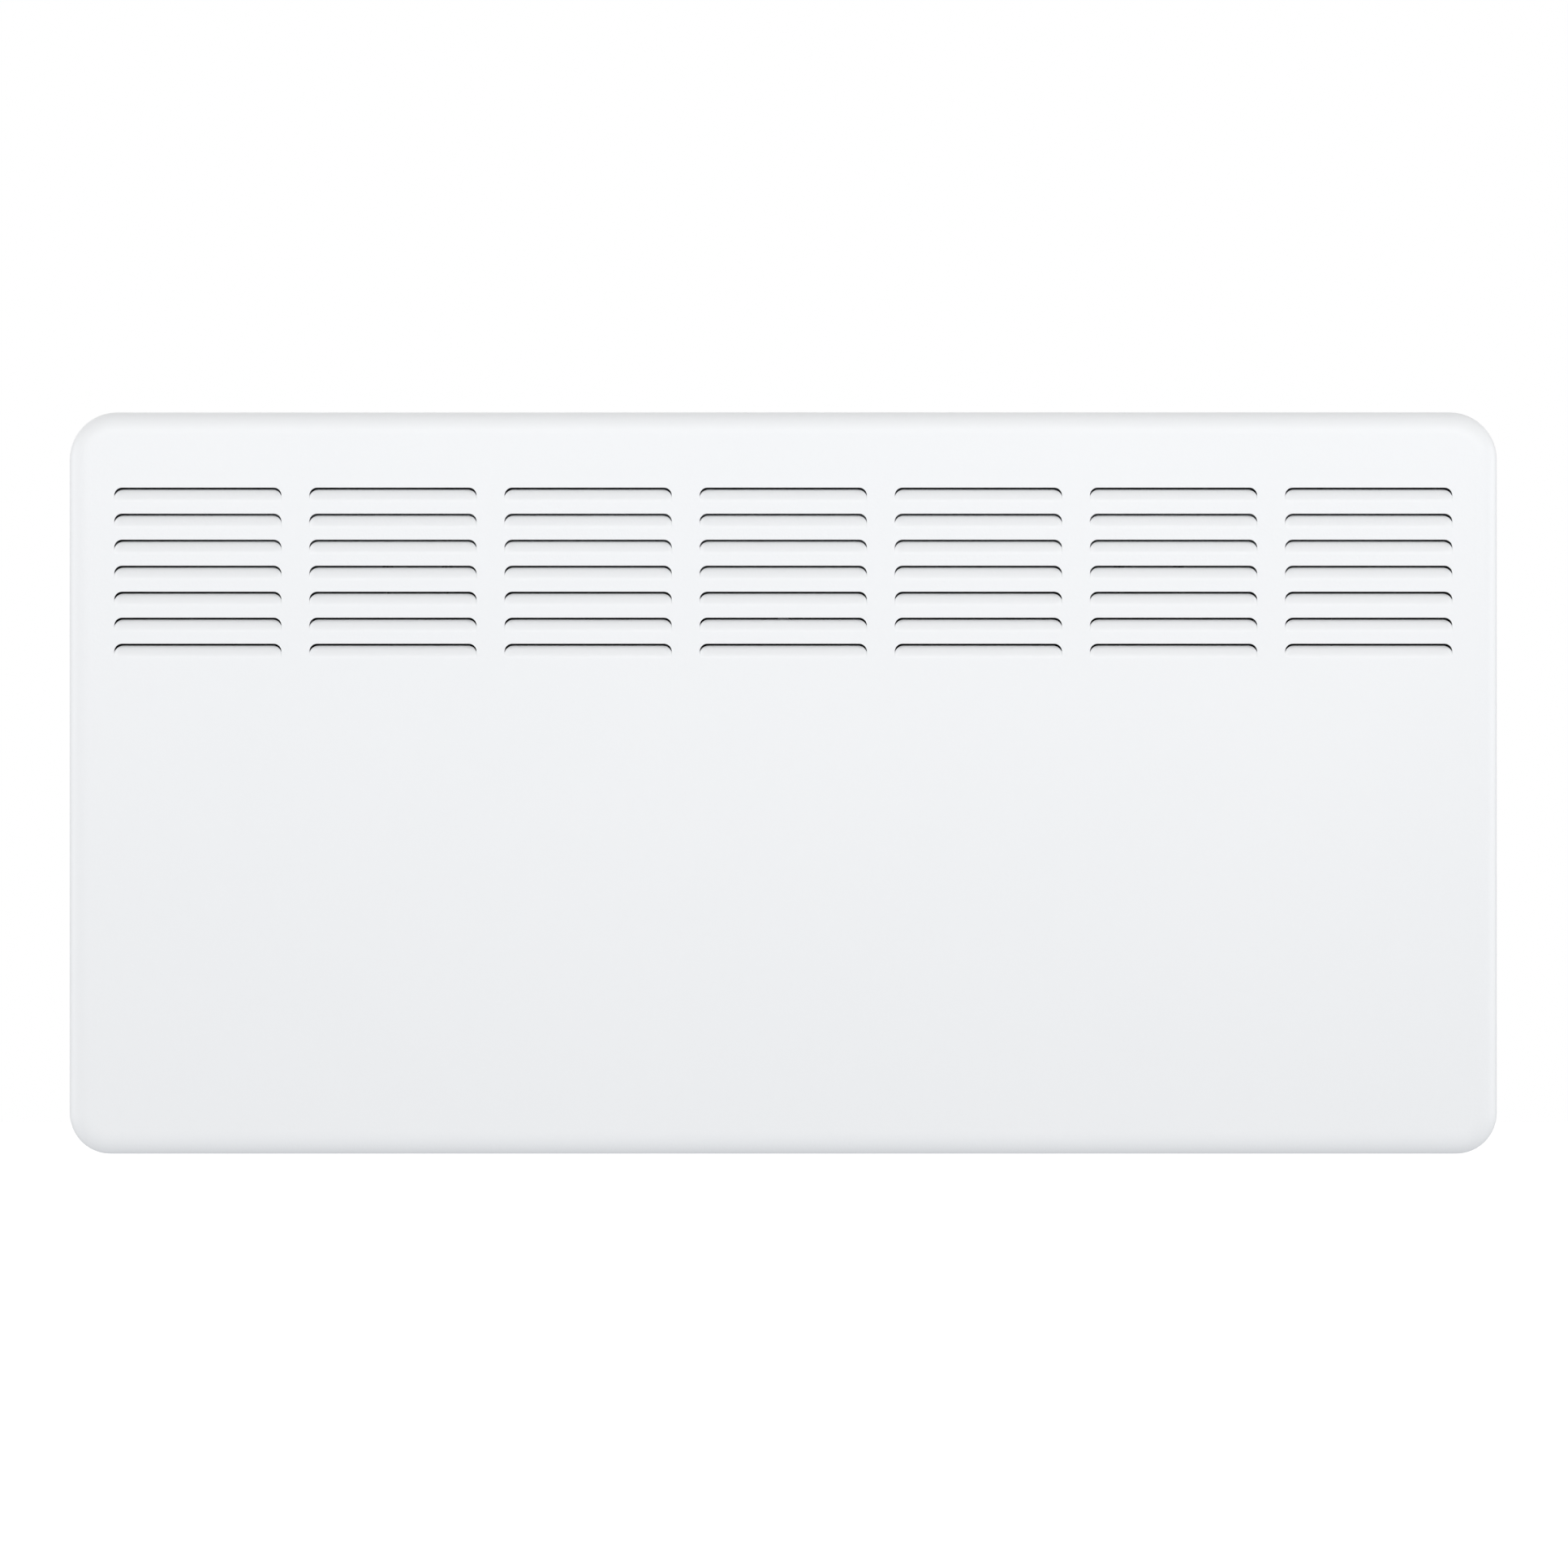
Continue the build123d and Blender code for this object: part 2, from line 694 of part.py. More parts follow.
def bracket_upright(x):
    """Channel against the wall with hooks cut from its two sides."""
    low, high = x - upright_width / 2, x + upright_width / 2
    channel = slab((low, high), (-bracket_sheet, 0), (upright_low, upright_high))
    for side in upright_sides:
        near = x + side - bracket_sheet / 2
        wall = (near, near + bracket_sheet)
        channel += slab(wall, (-upright_depth, 0), (upright_low, upright_high))
        channel += seen_from_right(hook_profile(), wall)
        inward = -1 if x > 0 else 1
        if side * inward > 0:
            holes = [rod_x(rivet_shank + snug, through(*wall), y, z) for y, z in crossbar_rivet_places()]
            channel -= holes
    for z in (-fixing_down / 2, fixing_down / 2):
        channel -= rod_y(fixing_hole, x, (-2 * bracket_sheet, bracket_sheet), z)
    return channel


def hook_profile():
    """Side view of one hook, in Y and Z: a shank under the seat and a rising nose."""
    root = -upright_depth
    throat = panel_front - hook_throat_gap
    tip = panel_rear - hook_reach
    bevel = hook_nose / 3
    shank_low = hook_seat - hook_shank
    nose_high = hook_seat + hook_nose
    return make_face(
        Polyline(
            (root, hook_seat),
            (throat, hook_seat),
            (throat, nose_high - bevel),
            (throat - bevel / 2, nose_high),
            (tip, nose_high - bevel),
            (tip, shank_low + bevel),
            (tip + bevel, shank_low),
            (root, shank_low),
            close=True,
        )
    )


def crossbar_rivet_places():
    """(y, z) of the rivets that hold the crossbars to the uprights."""
    y = -upright_depth / 2
    return [(y, low + crossbar_height / 2) for low in (upper_crossbar_low, lower_crossbar_low)]


def crossbar(low):
    """Strip between the uprights with a tab turned forward at each end."""
    half = fixing_across / 2 - upright_width / 2
    bar = slab((-half, half), (-bracket_sheet, 0), (low, low + crossbar_height))
    for side in (-1, 1):
        tab = sorted((side * half, side * (half - bracket_sheet)))
        bar += slab(tab, (-crossbar_tab, 0), (low, low + crossbar_height))
        bar -= rod_x(
            rivet_shank + snug, through(tab[0], tab[1]), -upright_depth / 2, low + crossbar_height / 2
        )
    return bar


def keeper_crossbar():
    """Lower crossbar, folded forward and then down to a lip for the latches."""
    half = fixing_across / 2 - upright_width / 2
    bar = crossbar(lower_crossbar_low)
    bar += slab((-half, half), (-keeper_depth, 0), (lower_crossbar_low, lower_crossbar_low + bracket_sheet))
    lip = (keeper_low, lower_crossbar_low + bracket_sheet)
    return bar + slab((-half, half), (-keeper_depth, bracket_sheet - keeper_depth), lip)


def bracket_rivets():
    """Rivets through the uprights' inner sides and the crossbars' tabs."""
    half = fixing_across / 2 - upright_width / 2
    def rivet(side, y, z):
        inner = half - bracket_sheet
        outer = half + bracket_sheet
        shank = rod_x(rivet_shank, sorted((side * inner, side * outer)), y, z)
        heads = [
            rod_x(rivet_head, sorted((side * face, side * (face + out * rivet_head_height))), y, z)
            for face, out in ((inner, -1), (outer, 1))
        ]
        return shank + heads
    return group(rivet(side, y, z) for side in (-1, 1) for y, z in crossbar_rivet_places())


# ---------------------------------------------------------------------------
# Sheet parts inside the casing
# ---------------------------------------------------------------------------

def panel_rivet_places():
    """(x, z, sheet) of the rivets that hold the inner sheet parts to the back panel."""
    lips = (shield_low - shield_lip / 2, shield_high + shield_lip / 2)
    places = [(x, z, shield_sheet) for x in shield_rivets for z in lips]
    places += [(x, deflector_low + deflector_tab / 2, inner_sheet) for x in deflector_rivets]
    foot_x = partition_x + inner_sheet + partition_foot / 2
    places += [(foot_x, (low + high) / 2, inner_sheet) for low, high in partition_feet]
    return places + [(support_x - support_foot / 2, z, support_sheet) for z in leg_zs]


def panel_rivets():
    """Blind rivets that hold the inner sheet parts to the back panel."""
    def rivet(x, z, sheet):
        face = panel_front - sheet
        shank = rod_y(rivet_shank, x, (face, panel_rear), z)
        inner = rod_y(rivet_head, x, (face - rivet_head_height, face), z)
        return shank + inner + rod_y(rivet_head, x, (panel_rear, panel_rear + rivet_head_height), z)
    return group(rivet(*place) for place in panel_rivet_places())


def riveted(part, own_sheet):
    """A part with the holes of the panel's rivets through its sheet against the panel."""
    depth = (panel_front - own_sheet - 0.1, panel_front + 0.1)
    return part - [rod_y(rivet_shank + snug, x, depth, z) for x, z, _ in panel_rivet_places()]


def clear_of_flange(part):
    """A part notched where it would meet the cover's rear flange."""
    ring = Rectangle(cover_width, cover_height) - outline(flange_width + free)
    return part - seen_from_front(ring, (rim_front - free, panel_front + past))


def heat_shield():
    """Bright sheet that stands off the back panel, with a lip along its top and its foot."""
    points = [
        (panel_front, shield_high + shield_lip),
        (panel_front, shield_high),
        (shield_rear, shield_high),
        (shield_rear, shield_low),
        (panel_front, shield_low),
        (panel_front, shield_low - shield_lip),
    ]
    section = sheet_section([(y, z) for y, z in reversed(points)], shield_sheet)
    shield = seen_from_right(section, (shield_left, shield_right))
    return riveted(shield, shield_sheet)


def casing_space():
    """Room inside the cover, kept a small gap away from its front and skirt."""
    room = seen_from_front(outline(cover_sheet + inner_gap), (front_inside + inner_gap, panel_front))
    return fillet(room.faces().sort_by(Axis.Y)[0].edges(), edge_roll - cover_sheet - inner_gap)


def air_deflector():
    """Sloping sheet that turns the warm air forward to the louvres."""
    face = front_inside + inner_gap + inner_sheet
    points = [
        (panel_front, deflector_low),
        (panel_front, deflector_low + deflector_tab),
        (face, deflector_front_low),
        (face, deflector_front_low + deflector_front_tab),
    ]
    deflector = seen_from_right(sheet_section(points, inner_sheet), (-half_width, half_width))
    return riveted(clear_of_flange(deflector & casing_space()), inner_sheet)


def deflector_seal():
    """Soft strip between the deflector's front tab and the cover, against rattle."""
    reach = half_width - top_corner
    return slab(
        (-reach, reach),
        (front_inside, front_inside + inner_gap),
        (deflector_front_low + seal_inset, deflector_front_low + deflector_front_tab - seal_inset),
    )


def partition():
    """Wall and roof that keep the warm air out of the electrical compartment."""
    right = partition_x + inner_sheet
    deep = (front, panel_front)
    wall = slab((partition_x, right), deep, (-half_height, partition_top))
    wall += slab((partition_x, half_width), deep, (partition_top - inner_sheet, partition_top))
    for ends in partition_feet:
        wall += slab((right, right + partition_foot), (panel_front - inner_sheet, panel_front), ends)
    for z in leg_zs:
        wall -= rod_x(bush_radius + core_play, through(partition_x, right), element_y, z)
    wall -= rod_x(grommet_hole, through(partition_x, right), element_y, grommet_height)
    return riveted(clear_of_flange(wall & casing_space()), inner_sheet)


# ---------------------------------------------------------------------------
# Heating element
# ---------------------------------------------------------------------------

def heating_tube():
    """Steel-sheathed heater bent into a hairpin, open end on the right."""
    low, high = leg_zs
    legs = [rod_x(tube_radius, (tube_left, tube_right), element_y, z) for z in leg_zs]
    half_ring = Torus(leg_spacing / 2, tube_radius)
    bend = Pos(tube_left, element_y, element_height) * Rot(90, 0, 0) * half_ring
    bend &= slab(
        (tube_left - leg_spacing, tube_left),
        (element_y - leg_spacing, element_y + leg_spacing),
        (low - leg_spacing, high + leg_spacing),
    )
    return legs[0] + legs[1] + bend


def fin_profile():
    """Two cores joined by a web, with four long arms and four short fins, in Y and Z."""
    half = leg_spacing / 2
    profile = Rectangle(arm_sheet * 2, leg_spacing)
    for up in (-1, 1):
        profile += Pos(0, up * half) * Circle(core_radius)
        for side in (-1, 1):
            run = Vector(side * arm_reach, up * arm_rise)
            angle = degrees(atan2(run.Y, run.X))
            arm = Rot(0, 0, angle) * Pos(run.length / 2, 0) * Rectangle(run.length, arm_sheet)
            profile += Pos(0, up * half) * arm
            profile += Pos(side * side_fin / 2, up * half / 2) * Rectangle(side_fin, arm_sheet)
    for up in (-1, 1):
        profile -= Pos(0, up * half) * Circle(tube_radius + core_play)
    return profile


def fin_block():
    """Extruded aluminium fins with slits across the arms that let them grow when hot."""
    block = seen_from_right(Pos(element_y, element_height) * fin_profile(), (fins_left, fins_right))
    span = 4 * (arm_reach + arm_rise)
    slit = Box(slit_width, span, span)
    slit -= Box(2 * slit_width, slit_core_width, leg_spacing + slit_core_width)
    count = int((fins_right - fins_left) / slit_pitch) - 1
    middle = (fins_left + fins_right) / 2
    places = [middle + slit_pitch * (i - (count - 1) / 2) for i in range(count)]
    return block - [Pos(x, element_y, element_height) * slit for x in places]


def element_pins():
    """Terminal pins that stand out of the tube's open ends."""
    return group(rod_x(pin_radius, (tube_right, leg_end), element_y, z) for z in leg_zs)


def element_collars():
    """Ceramic collars round the pins."""
    def collar(z):
        ring = rod_x(collar_radius, (tube_right, tube_right + collar_length), element_y, z)
        return ring - rod_x(pin_radius + snug, through(tube_right, tube_right + collar_length), element_y, z)
    return group(collar(z) for z in leg_zs)


def element_bushes(plate_left, plate_right, inward):
    """Ceramic bushes that carry the tube in a plate. inward is the side their flange lies on."""
    flange_face = plate_left if inward < 0 else plate_right
    far_face = flange_face + inward * bush_flange_thickness
    barrel_end = flange_face - inward * bush_barrel
    def bush(z):
        ring = rod_x(bush_flange, sorted((flange_face, far_face)), element_y, z)
        ring += rod_x(bush_radius, sorted((flange_face, barrel_end)), element_y, z)
        return ring - rod_x(tube_radius + core_play, (far_face - 20, far_face + 20), element_y, z)
    return group(bush(z) for z in leg_zs)


def element_support():
    """Plate with a foot on the back panel that carries the left end of the element."""
    right = support_x + support_sheet
    reach = element_y - arm_reach
    low = element_height - leg_spacing - bush_flange / 2
    high = element_height + leg_spacing + bush_flange / 2
    plate = slab((support_x, right), (reach, panel_front), (low, high))
    tab = (support_x - support_foot, support_x)
    plate += slab(tab, (panel_front - support_sheet, panel_front), (low, high))
    for z in leg_zs:
        plate -= rod_x(bush_radius + core_play, through(support_x, right), element_y, z)
    return riveted(plate, support_sheet)


# ---------------------------------------------------------------------------
# Overheat cut-out beside the partition
# ---------------------------------------------------------------------------

def cutout_bracket():
    """Angle on the partition that carries the overheat cut-out above the fins."""
    half = cutout_shelf_width / 2
    y = (element_y - half, element_y + half)
    shelf_x = (partition_x - cutout_shelf_length, partition_x)
    shelf = slab(shelf_x, y, (cutout_shelf, cutout_shelf + cutout_shelf_sheet))
    shelf += slab(
        (partition_x - cutout_shelf_sheet, partition_x), y, (cutout_shelf, cutout_shelf + cutout_shelf_foot)
    )
    hole = through(cutout_shelf, cutout_shelf + cutout_shelf_sheet)
    return shelf - rod_z(cutout_body_radius + snug, cutout_x, element_y, hole)


def cutout_cap():
    """Metal cap that faces the element and feels its heat."""
    cap = rod_z(cutout_cap_radius, cutout_x, element_y, (cutout_shelf - cutout_cap_height, cutout_shelf))
    return fillet(cap.edges().sort_by(Axis.Z)[0], 1)


def cutout_body():
    """Moulded body of the cut-out, standing through the bracket."""
    return rod_z(cutout_body_radius, cutout_x, element_y, (cutout_shelf, cutout_shelf + cutout_body_height))


def cutout_blades():
    """Two push-on blades on top of the cut-out."""
    low = cutout_shelf + cutout_body_height
    def blade(side):
        y = element_y + side * cutout_blade_spread / 2
        return slab(
            (cutout_x - blade_width / 2, cutout_x + blade_width / 2),
            (y - blade_thickness / 2, y + blade_thickness / 2),
            (low, low + blade_length),
        )
    return group(blade(side) for side in (-1, 1))


def lead_grommet():
    """Rubber ring in the partition for the cut-out's leads."""
    left = partition_x - grommet_lip
    right = partition_x + inner_sheet + grommet_lip
    ring = rod_x(grommet_flange, (left, partition_x), element_y, grommet_height)
    ring += rod_x(grommet_flange, (partition_x + inner_sheet, right), element_y, grommet_height)
    ring += rod_x(grommet_hole, (left, right), element_y, grommet_height)
    return ring - rod_x(grommet_bore, through(left, right), element_y, grommet_height)


# ---------------------------------------------------------------------------
# Controls in the right-hand end
# ---------------------------------------------------------------------------

def control_bezel():
    """Moulded bezel, flush in the skirt's window, with a dish for the knob and a seat for the switch."""
    tall = bezel_window_high - bezel_window_low
    outside = skin + past
    flange = RectangleRounded(bezel_flange_width, bezel_high - bezel_low, bezel_window_corner)
    face = RectangleRounded(
        bezel_window_width - 2 * bezel_fit, tall - 2 * bezel_fit, bezel_window_corner - bezel_fit
    )
    bezel = seen_from_right(Pos(bezel_y, bezel_middle) * flange, (bezel_rear, skin_inside))
    bezel += seen_from_right(Pos(bezel_y, bezel_middle) * face, (skin_inside, skin))
    bezel += rod_x(dish_radius + dish_wall, (dish_back, bezel_rear), bezel_y, knob_height)
    bezel -= rod_x(dish_radius, (dish_bottom, outside), bezel_y, knob_height)
    floor = (dish_back - past, skin)
    bezel -= rod_x(spindle_radius + spindle_floor_play, floor, bezel_y, knob_height)
    for side in (-1, 1):
        y = bezel_y + side * thermostat_screw_spread / 2
        bezel -= rod_x(thermostat_screw + snug, floor, y, knob_height)
    seat_back = switch_seat - bezel_flange_thickness
    block = Rectangle(switch_frame_wide + 2 * switch_wall, switch_frame_tall + 2 * switch_wall)
    bezel += seen_from_right(Pos(bezel_y, switch_height) * block, (seat_back, bezel_rear))
    wide, tall = switch_frame_wide + 2 * free, switch_frame_tall + 2 * free
    recess = RectangleRounded(wide, tall, switch_corner + free)
    bezel -= seen_from_right(Pos(bezel_y, switch_height) * recess, (switch_seat, outside))
    opening = Rectangle(switch_body_wide + 2 * snug, switch_body_tall + 2 * snug)
    bezel -= seen_from_right(Pos(bezel_y, switch_height) * opening, (seat_back - past, skin))
    bezel -= rod_x(lamp_flange + free, (lamp_seat, outside), bezel_y, lamp_height)
    inside = bezel_rear - past
    bezel -= rod_x(lamp_radius + snug, (inside, skin), bezel_y, lamp_height)
    return bezel - [rod_x(bezel_stud + snug, (inside, skin_inside), bezel_y, z) for z in stud_zs]


def bezel_studs():
    """Studs welded to the inside of the skirt."""
    end = bezel_rear - bezel_nut_height - 1
    return group(rod_x(bezel_stud, (end, skin_inside), bezel_y, z) for z in stud_zs)


def bezel_nuts():
    """Nuts that clamp the bezel's ears to the skirt."""
    x = (bezel_rear - bezel_nut_height, bezel_rear)
    def nut(z):
        blank = hexagon_x(bezel_nut_across, x, bezel_y, z)
        return blank - rod_x(bezel_stud + snug, through(*x), bezel_y, z)
    return group(nut(z) for z in stud_zs)


def thermostat_body():
    """Moulded thermostat body behind the dish, with a bore for its spindle."""
    shape = Rectangle(thermostat_width, thermostat_tall)
    shape = fillet(shape.vertices(), 3)
    body = seen_from_right(Pos(bezel_y, knob_height) * shape, (thermostat_left, dish_back))
    bore = (thermostat_left + spindle_back, dish_back + past)
    body -= rod_x(spindle_radius + spindle_play, bore, bezel_y, knob_height)
    hole = (dish_back - thermostat_screw_length, dish_back + past)
    for side in (-1, 1):
        y = bezel_y + side * thermostat_screw_spread / 2
        body -= rod_x(thermostat_screw + snug, hole, y, knob_height)
    return body


def thermostat_blades():
    """Two push-on blades at the back of the thermostat."""
    def blade(side):
        z = knob_height + side * thermostat_blade_spread / 2
        return slab(
            (thermostat_left - blade_length, thermostat_left),
            (bezel_y - blade_width / 2, bezel_y + blade_width / 2),
            (z - blade_thickness / 2, z + blade_thickness / 2),
        )
    return group(blade(side) for side in (-1, 1))


def thermostat_screws():
    """Two screws from the dish into the thermostat body, hidden by the knob."""
    def screw(side):
        y = bezel_y + side * thermostat_screw_spread / 2
        head = rod_x(
            thermostat_screw_head, (dish_bottom, dish_bottom + thermostat_screw_head_height), y, knob_height
        )
        tip = dish_bottom - thermostat_screw_length
        return head + rod_x(thermostat_screw, (tip, dish_bottom), y, knob_height)
    return group(screw(side) for side in (-1, 1))


def spindle_section(play):
    """Round section with one flat, in Y and Z."""
    radius = spindle_radius + play
    cut = 2 * radius
    flat = Pos(0, radius - spindle_flat + cut / 2 + play / 2) * Rectangle(cut, cut)
    return Circle(radius) - flat


def thermostat_spindle():
    """Steel spindle: round in the body, with a flat where the knob sits."""
    left = thermostat_left + spindle_back + free
    spindle = rod_x(spindle_radius, (left, knob_bottom), bezel_y, knob_height)
    flat = Pos(bezel_y, knob_height) * spindle_section(0)
    return spindle + seen_from_right(flat, (knob_bottom, knob_top - spindle_cover))


def thermostat_knob():
    """Round hollow disc with a grip bar across it and a pointer groove at the bar's top."""
    disc_top = knob_bottom + knob_disc
    disc = rod_x(knob_radius, (knob_bottom, disc_top), bezel_y, knob_height)
    disc = chamfer(disc.edges().sort_by(Axis.X)[-1], knob_bevel)
    bar = RectangleRounded(grip_width, 2 * (knob_radius - grip_inset), grip_end_radius)
    grip = seen_from_right(Pos(bezel_y, knob_height) * bar, (disc_top, knob_top))
    grip = fillet(grip.faces().sort_by(Axis.X)[-1].edges(), grip_edge)
    tip = knob_height + knob_radius
    pointer = slab(
        (knob_top - pointer_depth, knob_top + past),
        (bezel_y - pointer_width / 2, bezel_y + pointer_width / 2),
        (tip - pointer_length, tip),
    )
    open_end = knob_bottom - past
    hollow = rod_x(knob_radius - knob_wall, (open_end, disc_top - knob_wall), bezel_y, knob_height)
    hollow -= rod_x(spindle_radius + knob_hub_wall, (open_end, disc_top), bezel_y, knob_height)
    bore = Pos(bezel_y, knob_height) * spindle_section(snug)
    bore = seen_from_right(bore, (open_end, knob_top - spindle_cover + snug))
    return disc + grip - pointer - hollow - bore


def sensor_phial():
    """Copper phial of the thermostat, in the cold air above the inlet slots."""
    phial = rod_x(phial_radius, (phial_x, phial_x + phial_length), -phial_depth, phial_height)
    return fillet(phial.edges(), phial_radius / 2)


def sensor_clip():
    """Bent strip on the back panel that holds the phial."""
    x = (phial_x + phial_length / 2 - clip_width / 2, phial_x + phial_length / 2 + clip_width / 2)
    saddle = rod_x(phial_radius + clip_wall, x, -phial_depth, phial_height)
    saddle += slab(
        x,
        (-phial_depth + phial_radius, panel_front),
        (phial_height - clip_wall / 2, phial_height + clip_wall / 2),
    )
    tab = (phial_height - clip_foot * 0.6, phial_height + clip_foot * 0.4)
    saddle += slab(x, (panel_front - clip_wall, panel_front), tab)
    return saddle - rod_x(phial_radius + snug, through(x[0], x[1]), -phial_depth, phial_height)


def sensor_capillary():
    """Fine copper tube from the thermostat down to the phial."""
    start = knob_height - thermostat_tall / 2
    x = thermostat_left + 8
    end = phial_x + phial_length
    points = [
        (x, bezel_y - 8, start),
        (x, bezel_y - 8, phial_height + 108),
        (x + 15, bezel_y, phial_height + 48),
        (end + 10, -phial_depth, phial_height + 13),
        (end + 10, -phial_depth, phial_height),
        (end, -phial_depth, phial_height),
    ]
    return tube(points, capillary_radius, [20, 20, 12, 8])


def lamp_lens():
    """Clear coloured lens of the indicator lamp."""
    lens = rod_x(lamp_flange, (lamp_seat, lamp_seat + lamp_flange_thickness), bezel_y, lamp_height)
    return fillet(lens.edges().sort_by(Axis.X)[-1], 0.6)


def lamp_body():
    """Barrel of the indicator lamp behind its lens."""
    return rod_x(lamp_radius, (lamp_seat - lamp_body_length, lamp_seat), bezel_y, lamp_height)


def switch_body():
    """Moulded body and frame of the switch, with a well for the rocker."""
    frame = RectangleRounded(switch_frame_wide, switch_frame_tall, switch_corner)
    rim = (switch_seat, switch_seat + switch_frame_thickness)
    body = seen_from_right(Pos(bezel_y, switch_height) * frame, rim)
    core = Pos(bezel_y, switch_height) * Rectangle(switch_body_wide, switch_body_tall)
    body += seen_from_right(core, (switch_left, switch_seat))
    well = Pos(bezel_y, switch_height) * Rectangle(switch_well_wide, switch_well_tall)
    body -= seen_from_right(well, (switch_seat - switch_well_deep, skin))
    reach = switch_well_wide / 2 + rocker_pin_length
    return body - rod_y(
        rocker_pin + rocker_pin_play, rocker_axis, (bezel_y - reach, bezel_y + reach), switch_height
    )


def switch_rocker():
    """Rocker with a shallow V face, tipped to its off side, on two stub pins."""
    half = switch_well_wide / 2 - rocker_side_play
    wide = (bezel_y - half, bezel_y + half)
    drum = rod_y(rocker_radius, rocker_axis, wide, switch_height)
    rise = rocker_radius * tan(radians(rocker_tilt))
    face = make_face(
        Polyline(
            (-rocker_skirt, -rocker_radius),
            (rocker_crown + rise, -rocker_radius),
            (rocker_crown, 0),
            (rocker_crown + rise, rocker_radius),
            (-rocker_skirt, rocker_radius),
            close=True,
        )
    )
    wedge = seen_from_front(Pos(rocker_axis, switch_height) * face, wide)
    pins = rod_y(
        rocker_pin, rocker_axis, (wide[0] - rocker_pin_length, wide[1] + rocker_pin_length), switch_height
    )
    tip = Pos(rocker_axis, 0, switch_height) * Rot(0, -rocker_tilt, 0) * Pos(-rocker_axis, 0, -switch_height)
    return tip * ((drum & wedge) + pins)


def switch_blades():
    """Two push-on blades at the back of the switch."""
    def blade(side):
        z = switch_height + side * switch_blade_spread / 2
        return slab(
            (switch_left - blade_length, switch_left),
            (bezel_y - blade_width / 2, bezel_y + blade_width / 2),
            (z - blade_thickness / 2, z + blade_thickness / 2),
        )
    return group(blade(side) for side in (-1, 1))


# ---------------------------------------------------------------------------
# Supply: terminal block, earth stud and mains inlet
# ---------------------------------------------------------------------------

def terminal_block():
    """Moulded three-way block on the back panel with a wire bore and a screw shaft for each pole."""
    left = terminal_xs[0] - terminal_pitch / 2
    right = terminal_xs[-1] + terminal_pitch / 2
    height = (terminal_low, terminal_high)
    block = slab((left, right), (panel_front - terminal_web, panel_front), height)
    half = terminal_barrel / 2
    for x in terminal_xs:
        block += slab((x - half, x + half), (terminal_front, panel_front), height)
        block -= rod_z(terminal_bore, x, terminal_bore_y, through(terminal_low, terminal_high))
        block -= [
            rod_y(terminal_screw_head + snug, x, (terminal_front - past, terminal_bore_y), z)
            for z in terminal_screw_heights()
        ]
    return block


def terminal_screw_heights():
    """The two screws of each pole."""
    return (terminal_low + terminal_tall / 4, terminal_high - terminal_tall / 4)


def terminal_screws():
    """Clamping screws, sunk in their shafts."""
    crown = terminal_front + terminal_screw_sink
    head = rod_y(terminal_screw_head, 0, (crown, terminal_bore_y - terminal_bore - free), 0)
    half = terminal_slot / 2
    across = (-terminal_screw_head, terminal_screw_head)
    head -= slab(across, (crown - past, crown + terminal_slot), (-half, half))
    return group(Pos(x, 0, z) * head for x in terminal_xs for z in terminal_screw_heights())


def earth_stud():
    """Stud welded to the back panel."""
    return rod_y(earth_stud_radius, earth_x, (panel_front - earth_stud_length, panel_front), earth_z)


def earth_tag():
    """Ring tag under the earth nut, with a barrel for the wire."""
    y = (panel_front - earth_tag_sheet, panel_front)
    barrel = earth_wire_radius + earth_tag_wall
    tag = rod_y(earth_tag_radius, earth_x, y, earth_z)
    tag += slab((earth_x - earth_tag_neck, earth_x + earth_tag_neck), y, (earth_z, earth_tag_top))
    tag += rod_z(
        barrel, earth_x, panel_front - barrel, (earth_tag_top - earth_tag_barrel, earth_tag_top)
    )
    return tag - rod_y(earth_stud_radius + snug, earth_x, through(*y), earth_z)


def earth_nut():
    """Nut that clamps the ring tag."""
    y = (panel_front - earth_tag_sheet - earth_nut_height, panel_front - earth_tag_sheet)
    nut = hexagon_y(earth_nut_across, earth_x, y, earth_z)
    return nut - rod_y(earth_stud_radius + snug, earth_x, through(y[0], y[1]), earth_z)


def cable_gland():
    """Moulded mains inlet: flange outside the back panel, threaded barrel inside."""
    outside = panel_rear + gland_flange_thickness
    gland = rod_y(gland_flange, inlet_x, (panel_rear, outside), inlet_z)
    gland = fillet(gland.edges().sort_by(Axis.Y)[-1], 1)
    inside = panel_rear - gland_barrel_length
    gland += rod_y(gland_barrel, inlet_x, (inside, panel_rear), inlet_z)
    return gland - rod_y(inlet_bore, inlet_x, through(inside, outside), inlet_z)


def gland_nut():
    """Flat nut on the gland's barrel."""
    y = (panel_front - gland_nut_height, panel_front)
    nut = hexagon_y(gland_nut_across, inlet_x, y, inlet_z)
    return nut - rod_y(gland_barrel + snug, inlet_x, through(y[0], y[1]), inlet_z)


# ---------------------------------------------------------------------------
# Wiring
# ---------------------------------------------------------------------------

def wire_block_to_switch():
    """Live lead from the terminal block to the switch."""
    z = switch_height - switch_blade_spread / 2
    x = switch_left - blade_length
    points = [
        (terminal_xs[2], terminal_bore_y, terminal_high),
        (terminal_xs[2], terminal_bore_y, terminal_high + 16),
        (x - 12, bezel_y, z - 12),
        (x - 12, bezel_y, z),
        (x, bezel_y, z),
    ]
    return tube(points, wire_radius, [7, 5, 5])


